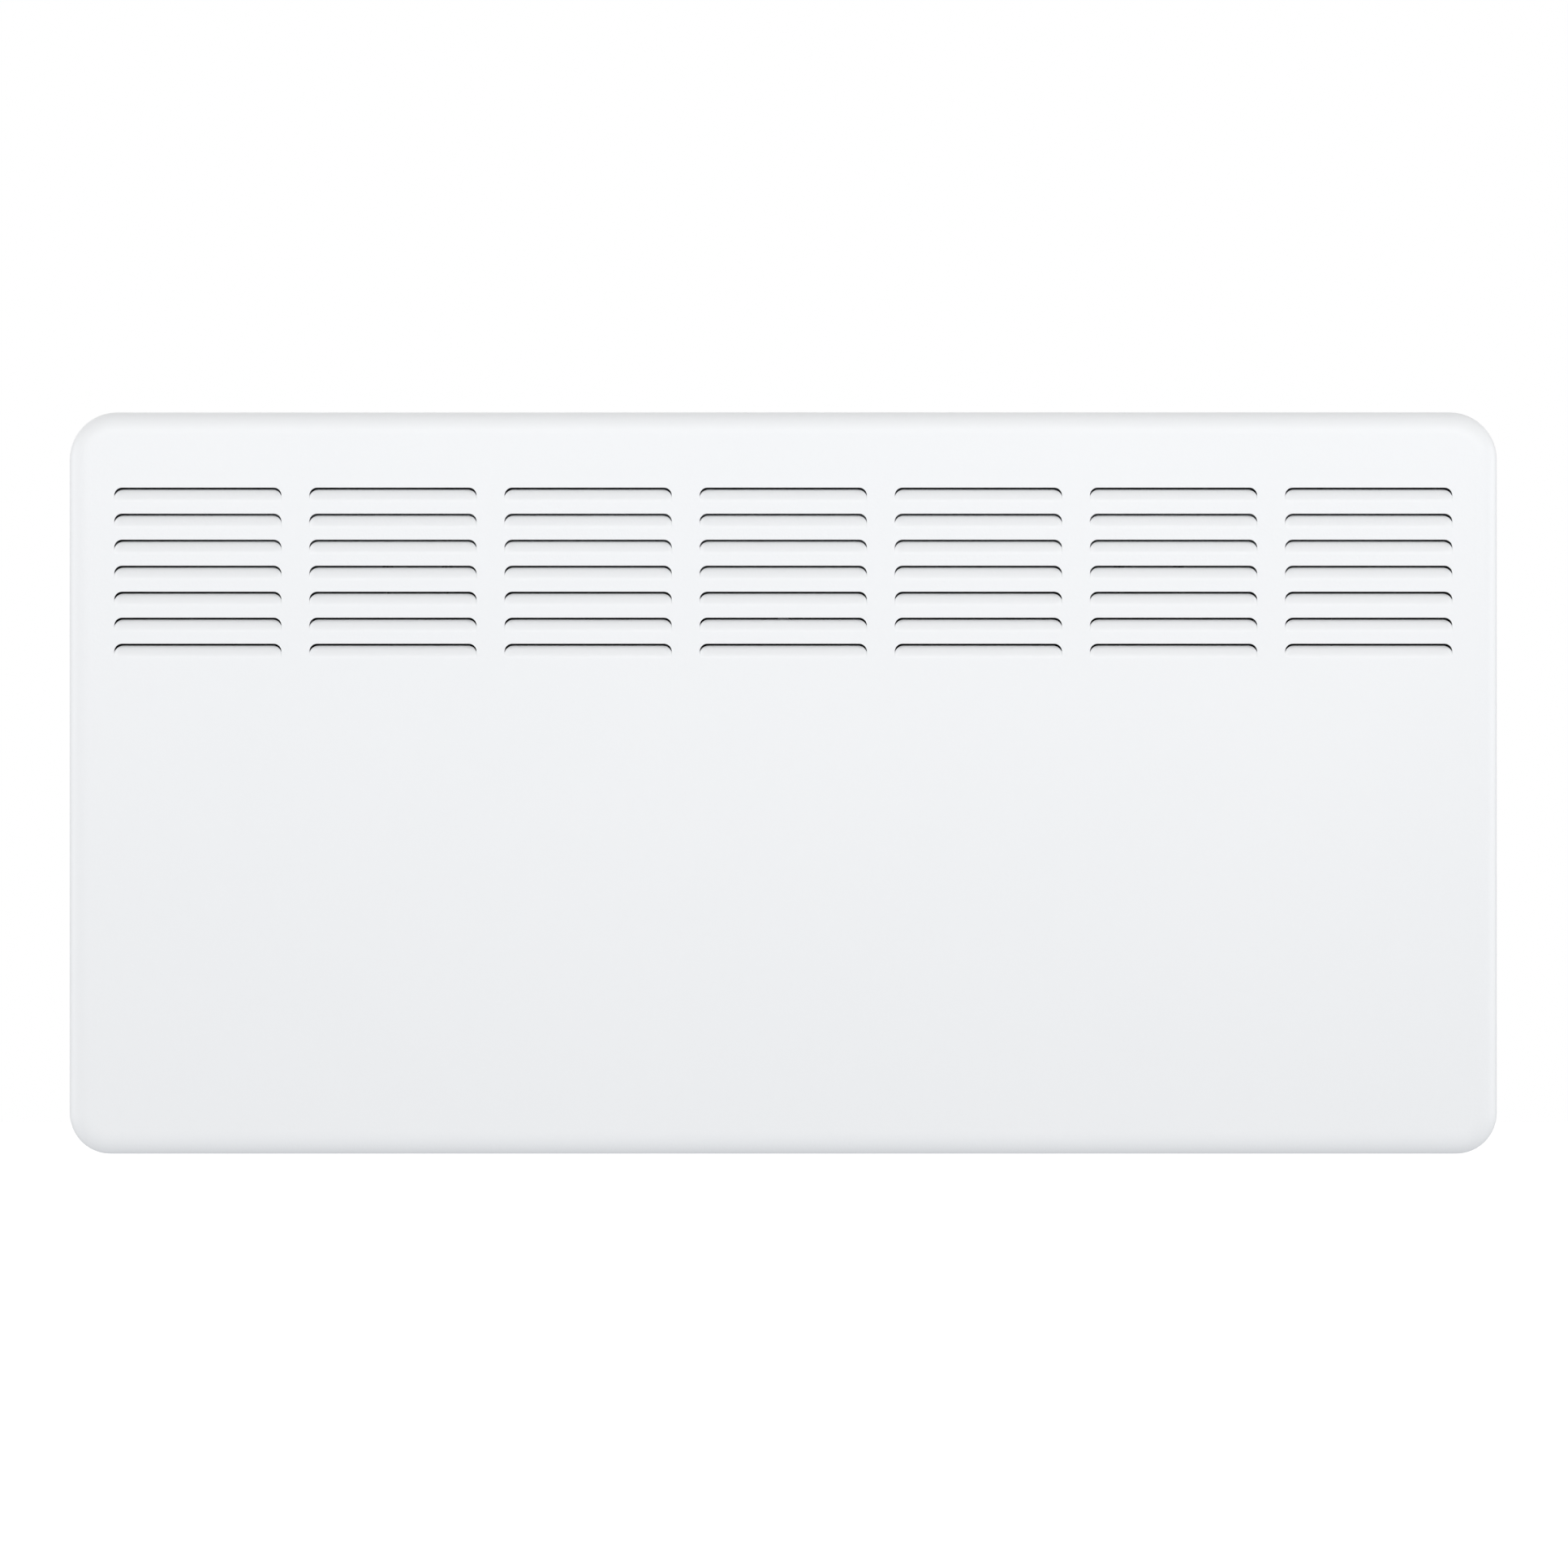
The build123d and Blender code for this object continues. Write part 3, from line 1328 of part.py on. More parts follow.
def wire_switch_to_thermostat():
    """Switched lead from the switch up to the thermostat."""
    low = switch_height + switch_blade_spread / 2
    high = knob_height - thermostat_blade_spread / 2
    x = switch_left - blade_length
    end = thermostat_left - blade_length
    points = [
        (x, bezel_y, low),
        (x - 14, bezel_y, low),
        (end - 10, bezel_y + 4, (low + high) / 2),
        (end - 10, bezel_y, high),
        (end, bezel_y, high),
    ]
    return tube(points, wire_radius, [7, 10, 5])


def wire_thermostat_to_cutout():
    """Lead from the thermostat through the grommet to the cut-out."""
    high = knob_height + thermostat_blade_spread / 2
    end = thermostat_left - blade_length
    y = element_y + 1.6
    blade_y = element_y + cutout_blade_spread / 2
    top = cutout_shelf + cutout_body_height + blade_length
    points = [
        (end, bezel_y, high),
        (end - 20, bezel_y, high),
        (partition_x + 12, y, -4),
        (partition_x + 10, y, grommet_height),
        (cutout_x + 10, y, grommet_height),
        (cutout_x, blade_y, grommet_height + 1),
        (cutout_x, blade_y, top),
    ]
    return tube(points, wire_radius, [9, 12, 7, 4, 2.6])


def wire_cutout_to_element():
    """Lead from the cut-out back through the grommet to the element's upper leg."""
    y = element_y - 1.6
    blade_y = element_y - cutout_blade_spread / 2
    top = cutout_shelf + cutout_body_height + blade_length
    points = [
        (cutout_x, blade_y, top),
        (cutout_x, blade_y, grommet_height + 1),
        (cutout_x + 10, y, grommet_height),
        (partition_x + 12, y, grommet_height),
        (partition_x + 14, y - 4, grommet_height - 24),
        (leg_end + 10, element_y - 8, leg_zs[1] + 20),
        (leg_end + 10, element_y, leg_zs[1]),
        (leg_end, element_y, leg_zs[1]),
    ]
    return tube(points, wire_radius, [2.6, 4, 8, 12, 10, 5])


def wire_block_to_element():
    """Neutral lead from the terminal block to the element's lower leg."""
    points = [
        (terminal_xs[1], terminal_bore_y, terminal_low),
        (terminal_xs[1], terminal_bore_y, terminal_low - 16),
        (leg_end + 12, element_y + 8, leg_zs[0] - 10),
        (leg_end + 12, element_y, leg_zs[0]),
        (leg_end, element_y, leg_zs[0]),
    ]
    return tube(points, wire_radius, [6, 5, 5])


def wire_earth():
    """Earth lead from the terminal block to the ring tag."""
    top = earth_tag_top
    y = panel_front - earth_wire_radius - earth_tag_wall
    points = [
        (terminal_xs[0], terminal_bore_y, terminal_low),
        (terminal_xs[0], terminal_bore_y, terminal_low - 12),
        (earth_x, y, top + 14),
        (earth_x, y, top),
    ]
    return tube(points, earth_wire_radius, [6, 6])


# ---------------------------------------------------------------------------
# Every node, by name
# ---------------------------------------------------------------------------

right_plate = (partition_x, partition_x + inner_sheet)
left_plate = (support_x, support_x + support_sheet)

nodes = {
    "front_cover": front_cover,
    "cover_screws": cover_screws,
    "back_panel": back_panel,
    "latch_left": lambda: latch(-1),
    "latch_right": lambda: latch(1),
    "latch_pivots": latch_pivots,
    "latch_washers": latch_washers,
    "wall_spacers": wall_spacers,
    "bracket_upright_left": lambda: bracket_upright(upright_xs[0]),
    "bracket_upright_right": lambda: bracket_upright(upright_xs[1]),
    "bracket_crossbar_upper": lambda: crossbar(upper_crossbar_low),
    "bracket_crossbar_lower": keeper_crossbar,
    "bracket_rivets": bracket_rivets,
    "heat_shield": heat_shield,
    "panel_rivets": panel_rivets,
    "air_deflector": air_deflector,
    "deflector_seal": deflector_seal,
    "partition": partition,
    "heating_tube": heating_tube,
    "fin_block": fin_block,
    "element_pins": element_pins,
    "element_collars": element_collars,
    "element_bushes_right": lambda: element_bushes(*right_plate, -1),
    "element_bushes_left": lambda: element_bushes(*left_plate, 1),
    "element_support": element_support,
    "cutout_bracket": cutout_bracket,
    "cutout_cap": cutout_cap,
    "cutout_body": cutout_body,
    "cutout_blades": cutout_blades,
    "lead_grommet": lead_grommet,
    "control_bezel": control_bezel,
    "bezel_studs": bezel_studs,
    "bezel_nuts": bezel_nuts,
    "thermostat_body": thermostat_body,
    "thermostat_blades": thermostat_blades,
    "thermostat_screws": thermostat_screws,
    "thermostat_spindle": thermostat_spindle,
    "thermostat_knob": thermostat_knob,
    "sensor_phial": sensor_phial,
    "sensor_clip": sensor_clip,
    "sensor_capillary": sensor_capillary,
    "lamp_lens": lamp_lens,
    "lamp_body": lamp_body,
    "switch_body": switch_body,
    "switch_rocker": switch_rocker,
    "switch_blades": switch_blades,
    "terminal_block": terminal_block,
    "terminal_screws": terminal_screws,
    "earth_stud": earth_stud,
    "earth_tag": earth_tag,
    "earth_nut": earth_nut,
    "cable_gland": cable_gland,
    "gland_nut": gland_nut,
    "wire_block_to_switch": wire_block_to_switch,
    "wire_switch_to_thermostat": wire_switch_to_thermostat,
    "wire_thermostat_to_cutout": wire_thermostat_to_cutout,
    "wire_cutout_to_element": wire_cutout_to_element,
    "wire_block_to_element": wire_block_to_element,
    "wire_earth": wire_earth,
}

os.makedirs("parts", exist_ok=True)
for name, make in nodes.items():
    export_step(make(), f"parts/{name}.step")
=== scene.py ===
"""Wall panel convector heater, dressed for rendering: a white pressed steel cover with seven columns of
seven louvres, a galvanised back panel on a wall bracket, and flush controls in the right-hand end."""

import json
import math

import bmesh
import bpy
import numpy as np
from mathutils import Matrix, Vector

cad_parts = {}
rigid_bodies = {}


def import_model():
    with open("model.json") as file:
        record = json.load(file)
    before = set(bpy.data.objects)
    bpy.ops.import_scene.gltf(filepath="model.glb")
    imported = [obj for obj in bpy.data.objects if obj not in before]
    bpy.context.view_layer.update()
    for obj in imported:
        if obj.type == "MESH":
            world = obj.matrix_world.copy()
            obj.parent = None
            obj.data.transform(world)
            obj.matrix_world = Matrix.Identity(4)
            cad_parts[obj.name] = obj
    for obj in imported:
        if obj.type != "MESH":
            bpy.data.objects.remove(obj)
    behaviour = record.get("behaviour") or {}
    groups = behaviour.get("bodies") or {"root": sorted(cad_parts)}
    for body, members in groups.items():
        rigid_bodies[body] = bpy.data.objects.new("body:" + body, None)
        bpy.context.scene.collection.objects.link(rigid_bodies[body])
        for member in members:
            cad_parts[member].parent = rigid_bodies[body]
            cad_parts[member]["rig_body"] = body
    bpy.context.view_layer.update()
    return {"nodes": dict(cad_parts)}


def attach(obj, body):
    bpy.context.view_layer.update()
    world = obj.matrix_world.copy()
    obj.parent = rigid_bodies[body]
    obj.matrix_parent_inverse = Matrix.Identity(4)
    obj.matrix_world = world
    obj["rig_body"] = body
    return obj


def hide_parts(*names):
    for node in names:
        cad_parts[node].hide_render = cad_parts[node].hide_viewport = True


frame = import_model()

mm = 0.001


# ---------------------------------------------------------------------------
# Camera. It looks square at the heater's front from four metres before the cover's face, through a long
# lens: a radian spans 9160 pixels of the frame.
# ---------------------------------------------------------------------------

frame_pixels, pixels_per_radian, sensor_width = 1932, 9160.0, 36.0
camera_place = (0.4, -4086.0, -0.5)
camera_data = bpy.data.cameras.new("camera")
camera_data.sensor_width = sensor_width
camera_data.lens = sensor_width * pixels_per_radian / frame_pixels
camera_data.clip_start, camera_data.clip_end = 0.05, 60
camera = bpy.data.objects.new("camera", camera_data)
camera.location = Vector(camera_place) * mm
camera.rotation_euler = (math.pi / 2, 0, 0)
bpy.context.scene.collection.objects.link(camera)
bpy.context.scene.camera = camera


# ---------------------------------------------------------------------------
# Front cover. One deep-drawn steel sheet, 0.8 mm, with a 12 mm roll round its front, louvres lanced
# inwards in seven columns, inlet slots in its underside, a window for the controls and a rear flange.
# It is powder-coated satin white outside and has a thin grey backing coat inside.
# ---------------------------------------------------------------------------

cover_half_width, cover_half_height, cover_front = 385.0, 200.0, -86.0
cover_sheet, roll, rim_bend, flange_width, flange_face = 0.8, 12.0, 1.6, 14.0, -18.7
low_radius, top_radius = 22.0, 25.5      # of the outline's lower and upper corners
columns = rows = 7
column_pitch, row_pitch, first_cut = 105.0, 14.0, 159.0
louvre_half, louvre_height, blade_height = 45.0, 8.0, 7.0
window_corner, blade_corner, blade_bend, blade_lean, end_draw = 4.2, 4.8, 4.5, 27.0, 3.2
cell_low, cell_high = -3.0, 11.0         # a louvre's cell of the front, measured from the louvre's foot
support = 0.6                            # flat strip beside each bend, which keeps the flat shading flat
slot_half, slot_radius, slot_levels = 45.0, 2.0, (-61.9, -51.9, -41.9, -31.9)
skirt_levels = (-73.4, -56.9, -46.9, -36.9, -20.6)
window_low, window_high, window_deep, window_shallow, window_round = -66.0, 42.0, -66.0, -26.0, 6.0
window_cell = (-72.0, 48.0)
corner_steps, roll_steps, bend_steps, arc_steps, blade_steps, window_steps = 12, 14, 5, 10, 7, 24
foot_marks, corner_marks = [0, 8, 16, 24, 30, 34, 37], 10      # of half a louvre, and of its blade's corner


def steps(ends, counts):
    """Points along a line through the ends, with so many equal steps between each two."""
    parts = [np.linspace(a, b, n, endpoint=False) for a, b, n in zip(ends, ends[1:], counts)]
    return np.concatenate([*parts, ends[-1:]])


def arc(centre, radius, start, end, count):
    """Points of an arc, in degrees from its first axis: centre + radius (cos, sin)."""
    angle = np.radians(np.linspace(start, end, count + 1))
    return np.stack([centre[0] + radius * np.cos(angle), centre[1] + radius * np.sin(angle)], -1)


def chain(*runs):
    """One closed loop from runs that each start where the last one ended."""
    return np.concatenate([np.asarray(run, float)[:-1] for run in runs])


def line(xs, zs):
    """Points of a straight run from its two coordinates, either of which may be a single number."""
    return np.stack(np.broadcast_arrays(np.asarray(xs, float), np.asarray(zs, float)), -1)


corner_turn = np.radians(np.linspace(0, 90, corner_marks))
half_xs = np.append(foot_marks, louvre_half - blade_corner * (1 - np.sin(corner_turn)))
foot_xs = np.concatenate([-half_xs[:0:-1], half_xs])
across = len(foot_xs) - 1
column_xs = column_pitch * (np.arange(columns) - (columns - 1) / 2)
foot_zs = first_cut - louvre_height - row_pitch * np.arange(rows)
cell_xs = foot_xs * column_pitch / 2 / louvre_half
field_half = columns * column_pitch / 2
field_xs = np.append((column_xs[:, None] + cell_xs[None, :-1]).ravel(), field_half)
underside_half = cover_half_width - low_radius
slot_borders = np.concatenate([[-underside_half], (column_xs[1:] + column_xs[:-1]) / 2, [underside_half]])
slot_tip, slot_straight = slot_half - slot_radius, across - arc_steps
slot_ends = np.stack([slot_borders[:-1], column_xs - slot_tip, column_xs + slot_tip], -1).ravel()
slot_xs = steps(
    [*slot_ends, slot_borders[-1]], [arc_steps // 2, slot_straight, arc_steps // 2] * columns)
side_steps = (rows * (blade_steps + 1) - window_steps) // 2
window_straight = window_steps - 2 * arc_steps
window_ends = [window_low + window_round, window_high - window_round]
side_low, side_high = low_radius - cover_half_height, cover_half_height - top_radius
right_zs = steps(
    [side_low, window_cell[0], *window_ends, window_cell[1], side_high],
    [side_steps, arc_steps, window_straight, arc_steps, side_steps])
left_zs = steps([side_high, side_low], [len(right_zs) - 1])


def outline(inset):
    """Front outline of the cover brought in by inset: straight sides joined by arcs of radius minus inset.
    It runs round from the lower left: foot, right side, top, left side."""
    wide, high = cover_half_width - inset, cover_half_height - inset
    top_half = cover_half_width - top_radius
    top_xs = field_xs * top_half / field_half
    return chain(
        line(slot_xs, -high),
        arc((underside_half, side_low), low_radius - inset, -90, 0, corner_steps),
        line(wide, right_zs),
        arc((top_half, side_high), top_radius - inset, 0, 90, corner_steps),
        line(top_xs[::-1], high),
        arc((-top_half, side_high), top_radius - inset, 90, 180, corner_steps),
        line(-wide, left_zs),
        arc((-underside_half, side_low), low_radius - inset, 180, 270, corner_steps),
    )


def woven(points, closed=False, keep=None):
    """Quads of a grid of points, rows by columns, as (points, faces). closed joins the last column to the
    first; keep masks the quads."""
    index = np.arange(points.shape[0] * points.shape[1]).reshape(points.shape[:2])
    if closed:
        index = np.concatenate([index, index[:, :1]], 1)
    quads = np.stack([index[:-1, :-1], index[:-1, 1:], index[1:, 1:], index[1:, :-1]], -1)
    quads = quads.reshape(-1, 4) if keep is None else quads[keep]
    return points.reshape(-1, 3), quads


def blade_top(xs):
    """Upper edge of a blade: level, with a quarter circle down to each end."""
    past = np.maximum(np.abs(xs) - (louvre_half - blade_corner), 0)
    return blade_height - blade_corner + np.sqrt(np.maximum(blade_corner ** 2 - past ** 2, 0))


def blade():
    """One louvre blade. It leaves the front along its foot, bends inwards along a circle of radius R, where
    its depth is R minus the root of R squared less height squared, and goes on straight once it leans by the
    lean's angle. Towards each end the depth falls to nothing along a quarter ellipse, where the drawn end
    joins the sheet."""
    share = np.linspace(0, 1, blade_steps + 1)[:, None]
    high = share * blade_top(foot_xs)[None]
    end = np.clip((louvre_half - np.abs(foot_xs)) / end_draw, 0, 1)
    lean = math.radians(blade_lean)
    bent = np.minimum(high, blade_bend * math.sin(lean))
    deep = blade_bend - np.sqrt(blade_bend ** 2 - bent ** 2) + (high - bent) * math.tan(lean)
    deep = deep * np.sqrt(1 - (1 - end) ** 2)
    wide = np.broadcast_to(foot_xs, high.shape)
    return np.stack([wide, cover_front + deep, high], -1)


def louvre_loops():
    """The louvre's opening and its cell's border, as loops with the same count of points: foot, right side,
    top, left side."""
    joint = blade_top(louvre_half)
    side = np.append(np.linspace(0, joint, blade_steps + 1), louvre_height - window_corner)
    centre = louvre_half - window_corner
    level = louvre_height - window_corner
    opening = chain(
        line(foot_xs, 0),
        line(louvre_half, side),
        arc((centre, level), window_corner, 0, 90, arc_steps),
        line(np.linspace(centre, -centre, across - 2 * arc_steps + 1), louvre_height),
        arc((-centre, level), window_corner, 90, 180, arc_steps),
        line(-louvre_half, side[::-1]),
    )
    reach = column_pitch / 2
    border = chain(
        line(cell_xs, cell_low),
        line(reach, np.linspace(cell_low, cell_high, blade_steps + 2)),
        line(cell_xs[::-1], cell_high),
        line(-reach, np.linspace(cell_high, cell_low, blade_steps + 2)),
    )
    return opening, border


def front_patches():
    """The flat front: 49 cells with a louvre each, and the plain sheet round their field."""
    opening, border = louvre_loops()
    away = border - opening
    strip = opening + away * support / np.linalg.norm(away, axis=1, keepdims=True)
    cell = np.insert(np.stack([border, strip, opening]), 1, cover_front, axis=2)
    patches = []
    for x in column_xs:
        for z in foot_zs:
            shift = np.array([x, 0, z])
            patches += [woven(cell + shift, closed=True), woven(blade() + shift)]
    high, low = foot_zs[0] + cell_high, foot_zs[-1] + cell_low
    field_zs = np.linspace(low, high, rows * (blade_steps + 1) + 1)
    right = np.full(corner_steps + 1, field_half)      # a corner of the field, once for each of the outline's
    field = chain(
        line(field_xs, low),
        line(right, low),
        line(field_half, field_zs),
        line(right, high),
        line(field_xs[::-1], high),
        line(-right, high),
        line(-field_half, field_zs[::-1]),
        line(-right, low),
    )
    plain = np.insert(np.stack([outline(roll + support), field]), 1, cover_front, axis=2)
    return patches + [woven(plain, closed=True)]


def shell_patches():
    """Roll, skirt, rear bend and flange: rings of the outline, each with its own inset and depth. The quads
    of the underside and of the control window are left out."""
    turn = np.linspace(0, np.pi / 2, roll_steps + 1)
    back = np.linspace(0, np.pi / 2, bend_steps + 1)
    insets = np.concatenate([
        [roll + support], roll * (1 - np.sin(turn)), [0] * len(skirt_levels), rim_bend * (1 - np.cos(back)),
        [rim_bend + support, flange_width],
    ])
    depths = np.concatenate([
        [cover_front], cover_front + roll * (1 - np.cos(turn)), skirt_levels,
        flange_face - rim_bend + rim_bend * np.sin(back), [flange_face, flange_face],
    ])
    rings = np.stack([outline(inset) for inset in insets])
    rings = np.stack([rings[..., 0], np.broadcast_to(depths[:, None], rings.shape[:2]), rings[..., 1]], -1)
    keep = np.ones((len(insets) - 1, rings.shape[1]), bool)
    skirt = slice(roll_steps + 2, roll_steps + 1 + len(skirt_levels))
    foot = columns * across
    window = foot + corner_steps + side_steps
    keep[skirt, :foot] = keep[skirt, window:window + window_steps] = False
    return [woven(rings[::-1], closed=True, keep=keep[::-1])]


def underside_patches():
    """The underside's flat with its inlet slots: each cell runs from its border to a slot with round ends."""
    patches = []
    for i, x in enumerate(column_xs):
        xs = slot_xs[i * across:(i + 1) * across + 1]
        start, end = x - slot_tip, x + slot_tip
        straight = np.linspace(start, end, slot_straight + 1)
        for level, near, far in zip(slot_levels, skirt_levels, skirt_levels[1:]):
            slot = chain(
                arc((start, level), slot_radius, 180, 270, arc_steps // 2),
                line(straight, level - slot_radius),
                arc((end, level), slot_radius, 270, 360, arc_steps // 2),
                line([x + slot_half] * 2, level),
                arc((end, level), slot_radius, 0, 90, arc_steps // 2),
                line(straight[::-1], level + slot_radius),
                arc((start, level), slot_radius, 90, 180, arc_steps // 2),
                line([x - slot_half] * 2, level),
            )
            border = chain(
                line(xs, near), line(xs[-1], [near, far]), line(xs[::-1], far), line(xs[0], [far, near]))
            cell = np.insert(np.stack([slot, border]), 2, -cover_half_height, axis=2)
            patches.append(woven(cell, closed=True))
    return patches


def window_patches():
    """The right-hand skirt round the control window: from its border in to a rectangle with round corners."""
    low, high = window_ends
    deep, shallow = window_deep + window_round, window_shallow - window_round
    zs = right_zs[side_steps:side_steps + window_steps + 1]
    window = chain(
        arc((deep, low), window_round, 270, 180, arc_steps),
        line(window_deep, np.linspace(low, high, window_straight + 1)),
        arc((deep, high), window_round, 180, 90, arc_steps),
        line(np.linspace(deep, shallow, len(skirt_levels)), window_high),
        arc((shallow, high), window_round, 90, 0, arc_steps),
        line(window_shallow, np.linspace(high, low, window_straight + 1)),
        arc((shallow, low), window_round, 0, -90, arc_steps),
        line(np.linspace(shallow, deep, len(skirt_levels)), window_low),
    )
    border = chain(
        line(skirt_levels[0], zs),
        line(skirt_levels, window_cell[1]),
        line(skirt_levels[-1], zs[::-1]),
        line(skirt_levels[::-1], window_cell[0]),
    )
    cell = np.insert(np.stack([window, border]), 0, cover_half_width, axis=2)
    return [woven(cell, closed=True)]


def joined(name, patches, merge=0.004):
    """Mesh of several patches, in millimetres, with shared points merged and faces turned outwards."""
    counts = np.cumsum([0] + [len(points) for points, _ in patches])
    points = np.concatenate([points for points, _ in patches]) * mm
    faces = np.concatenate([quads + start for (_, quads), start in zip(patches, counts)])
    mesh = bpy.data.meshes.new(name)
    mesh.from_pydata(points.tolist(), [], faces.tolist())
    shape = bmesh.new()
    shape.from_mesh(mesh)
    bmesh.ops.remove_doubles(shape, verts=shape.verts, dist=merge * mm)
    bmesh.ops.dissolve_degenerate(shape, edges=shape.edges, dist=merge * mm / 10)
    bmesh.ops.recalc_face_normals(shape, faces=shape.faces)
    shape.to_mesh(mesh)
    shape.free()
    return mesh


def shown(name, mesh, finish, body, node=None):
    """Makes a piece of a mesh: its finish, the body that it rides on, and the CAD node that it stands for."""
    piece = bpy.data.objects.new(name, mesh)
    bpy.context.scene.collection.objects.link(piece)
    mesh.materials.clear()
    mesh.materials.append(finish.material)
    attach(piece, body)
    if node:
        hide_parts(node)
    return piece


crease = 50.0                            # degrees: a sharper edge shows as one


def finished(piece):
    """Turns a piece's modifiers into its mesh, shaded smooth except over sharp edges, with its flats flat."""
    def applied():
        graph = bpy.context.evaluated_depsgraph_get()
        piece.data = bpy.data.meshes.new_from_object(piece.evaluated_get(graph))
        piece.modifiers.clear()

    applied()
    piece.data.shade_smooth()
    piece.data.set_sharp_from_angle(angle=math.radians(crease))
    piece.modifiers.new("flats", "WEIGHTED_NORMAL").keep_sharp = True
    applied()
    return piece


class Field:
    """Something that varies over a surface, held as a node's output. Arithmetic on it adds Math nodes."""

    def __init__(self, nodes, socket):
        self.nodes, self.socket = nodes, socket

    def math(self, operation, first, second):
        return self.nodes.node("ShaderNodeMath", {"operation": operation}, {0: first, 1: second})

    def __add__(self, other):
        return self.math("ADD", self, other)

    def __mul__(self, other):
        return self.math("MULTIPLY", self, other)

    def __pow__(self, other):
        return self.math("POWER", self, other)

    def __gt__(self, other):
        return self.math("GREATER_THAN", self, other)

    __radd__, __rmul__ = __add__, __mul__


class Nodes:
    """The nodes of a material or of the world."""

    def __init__(self, holder):
        holder.use_nodes = True
        self.tree = holder.node_tree

    def feed(self, socket, value):
        if isinstance(value, Field):
            self.tree.links.new(value.socket, socket)
        else:
            socket.default_value = value

    def node(self, kind, settings={}, sockets={}, output=0):
        """Adds a node: its settings first, then the values or links of its sockets."""
        made = self.tree.nodes.new(kind)
        for key, value in settings.items():
            setattr(made, key, value)
        for key, value in sockets.items():
            self.feed(made.inputs[key], value)
        return Field(self, made.outputs[output])


class Finish(Nodes):
    """One material: a Principled shader whose plain sockets are set here, with nodes for what varies."""

    def __init__(self, name, **sockets):
        self.material = bpy.data.materials.new(name)
        super().__init__(self.material)
        self.shader = self.tree.nodes["Principled BSDF"]
        self.set(**sockets)
        self.place = self.node("ShaderNodeTexCoord", output="Object")

    def set(self, **sockets):
        for key, value in sockets.items():
            self.feed(self.shader.inputs[key.replace("_", " ")], value)
        return self

    def stretched(self, x=1.0, y=1.0, z=1.0):
        """Object coordinates scaled along each axis, for marks that run along one of them."""
        return self.node("ShaderNodeMapping", {}, {"Vector": self.place, "Scale": (x, y, z)})

    def noise(self, scale, detail=2.0, at=None):
        """Soft noise from 0 to 1 with so many lumps to the metre."""
        return self.node("ShaderNodeTexNoise", {}, {
            "Vector": at or self.place, "Scale": scale, "Detail": detail})

    def grains(self, scale, at=None, output="Color"):
        """Voronoi cells, so many to the metre: each one's own shade, or the distance to its middle. The
        product with 1 turns a shade into a number."""
        return self.node("ShaderNodeTexVoronoi", {}, {
            "Vector": at or self.place, "Scale": scale}, output=output) * 1.0

    def along(self, axis, start, end):
        """From 0 at start to 1 at end, in millimetres along an axis, eased at both ends."""
        at = self.node("ShaderNodeSeparateXYZ", {}, {"Vector": self.place}, output=axis)
        return self.node("ShaderNodeMapRange", {"interpolation_type": "SMOOTHSTEP"}, {
            "Value": at, "From Min": start * mm, "From Max": end * mm})

    def between(self, factor, first, second):
        """Colour between first and second."""
        first, second = ((*c, 1.0) if isinstance(c, tuple) else c for c in (first, second))
        return self.node("ShaderNodeMix", {"data_type": "RGBA"}, {0: factor, 6: first, 7: second}, output=2)

    def lay(self, colours, roughness, height, depth):
        """Lays what varies on the shader: a factor and the two colours it mixes, the roughness, and a
        relief of that depth in metres."""
        bump = self.node("ShaderNodeBump", {}, {"Height": height, "Distance": depth})
        return self.set(Base_Color=self.between(*colours), Roughness=roughness, Normal=bump)

    def on(self, *nodes):
        """Puts the finish on CAD nodes."""
        for name in nodes:
            materials = frame["nodes"][name].data.materials
            materials.clear()
            materials.append(self.material)
        return self


coat = Finish("satin_white_coat", Specular_IOR_Level=0.5)
coat.lay(
    (coat.noise(5), (0.85, 0.86, 0.868), (0.872, 0.877, 0.882)),
    0.36 + coat.noise(30, 3.0) * 0.1,
    coat.noise(700, 3.0), 0.00006)

backing = Finish("grey_backing_coat", Specular_IOR_Level=0.3)
backing.lay(
    (backing.noise(9, 3.0), (0.17, 0.19, 0.225), (0.21, 0.23, 0.265)),
    0.55 + backing.noise(60) * 0.15,
    backing.noise(900), 0.00003)

cover_mesh = joined("front_cover_skin", [
    *front_patches(), *shell_patches(), *underside_patches(), *window_patches()])
cover = shown("front_cover_skin", cover_mesh, coat, "heater", "front_cover")
cover_mesh.materials.append(backing.material)
sheet = cover.modifiers.new("sheet", "SOLIDIFY")
sheet.thickness, sheet.offset, sheet.use_even_offset = cover_sheet * mm, -1, True
sheet.material_offset = 1
finished(cover)


# ---------------------------------------------------------------------------
# Cover screws. Zinc-plated steel pan heads with a cross recess, driven from behind. They hold the cover by
# its rear flange.
# ---------------------------------------------------------------------------

screw_zinc = Finish("zinc_screws", Metallic=1.0)
screw_zinc.lay(
    (screw_zinc.noise(160, 3.0), (0.60, 0.61, 0.63), (0.76, 0.76, 0.75)),
    0.24 + screw_zinc.noise(400, 3.0) * 0.22,
    screw_zinc.noise(2500), 0.00001)
screw_zinc.on("cover_screws")


# ---------------------------------------------------------------------------
# Back panel. Galvanised sheet with pressed swages and hook slots. Aluminium blind rivets hold the inner
# sheets to it, and two rubber spacers at its foot keep it off the wall.
# ---------------------------------------------------------------------------

def points_of(mesh):
    """A mesh's points in millimetres."""
    points = np.empty(len(mesh.vertices) * 3, np.float32)
    mesh.vertices.foreach_get("co", points)
    return points.reshape(-1, 3) / mm


weld, flat_turn = 0.002, 0.3             # corners this close are one, and faces that turn less are one flat


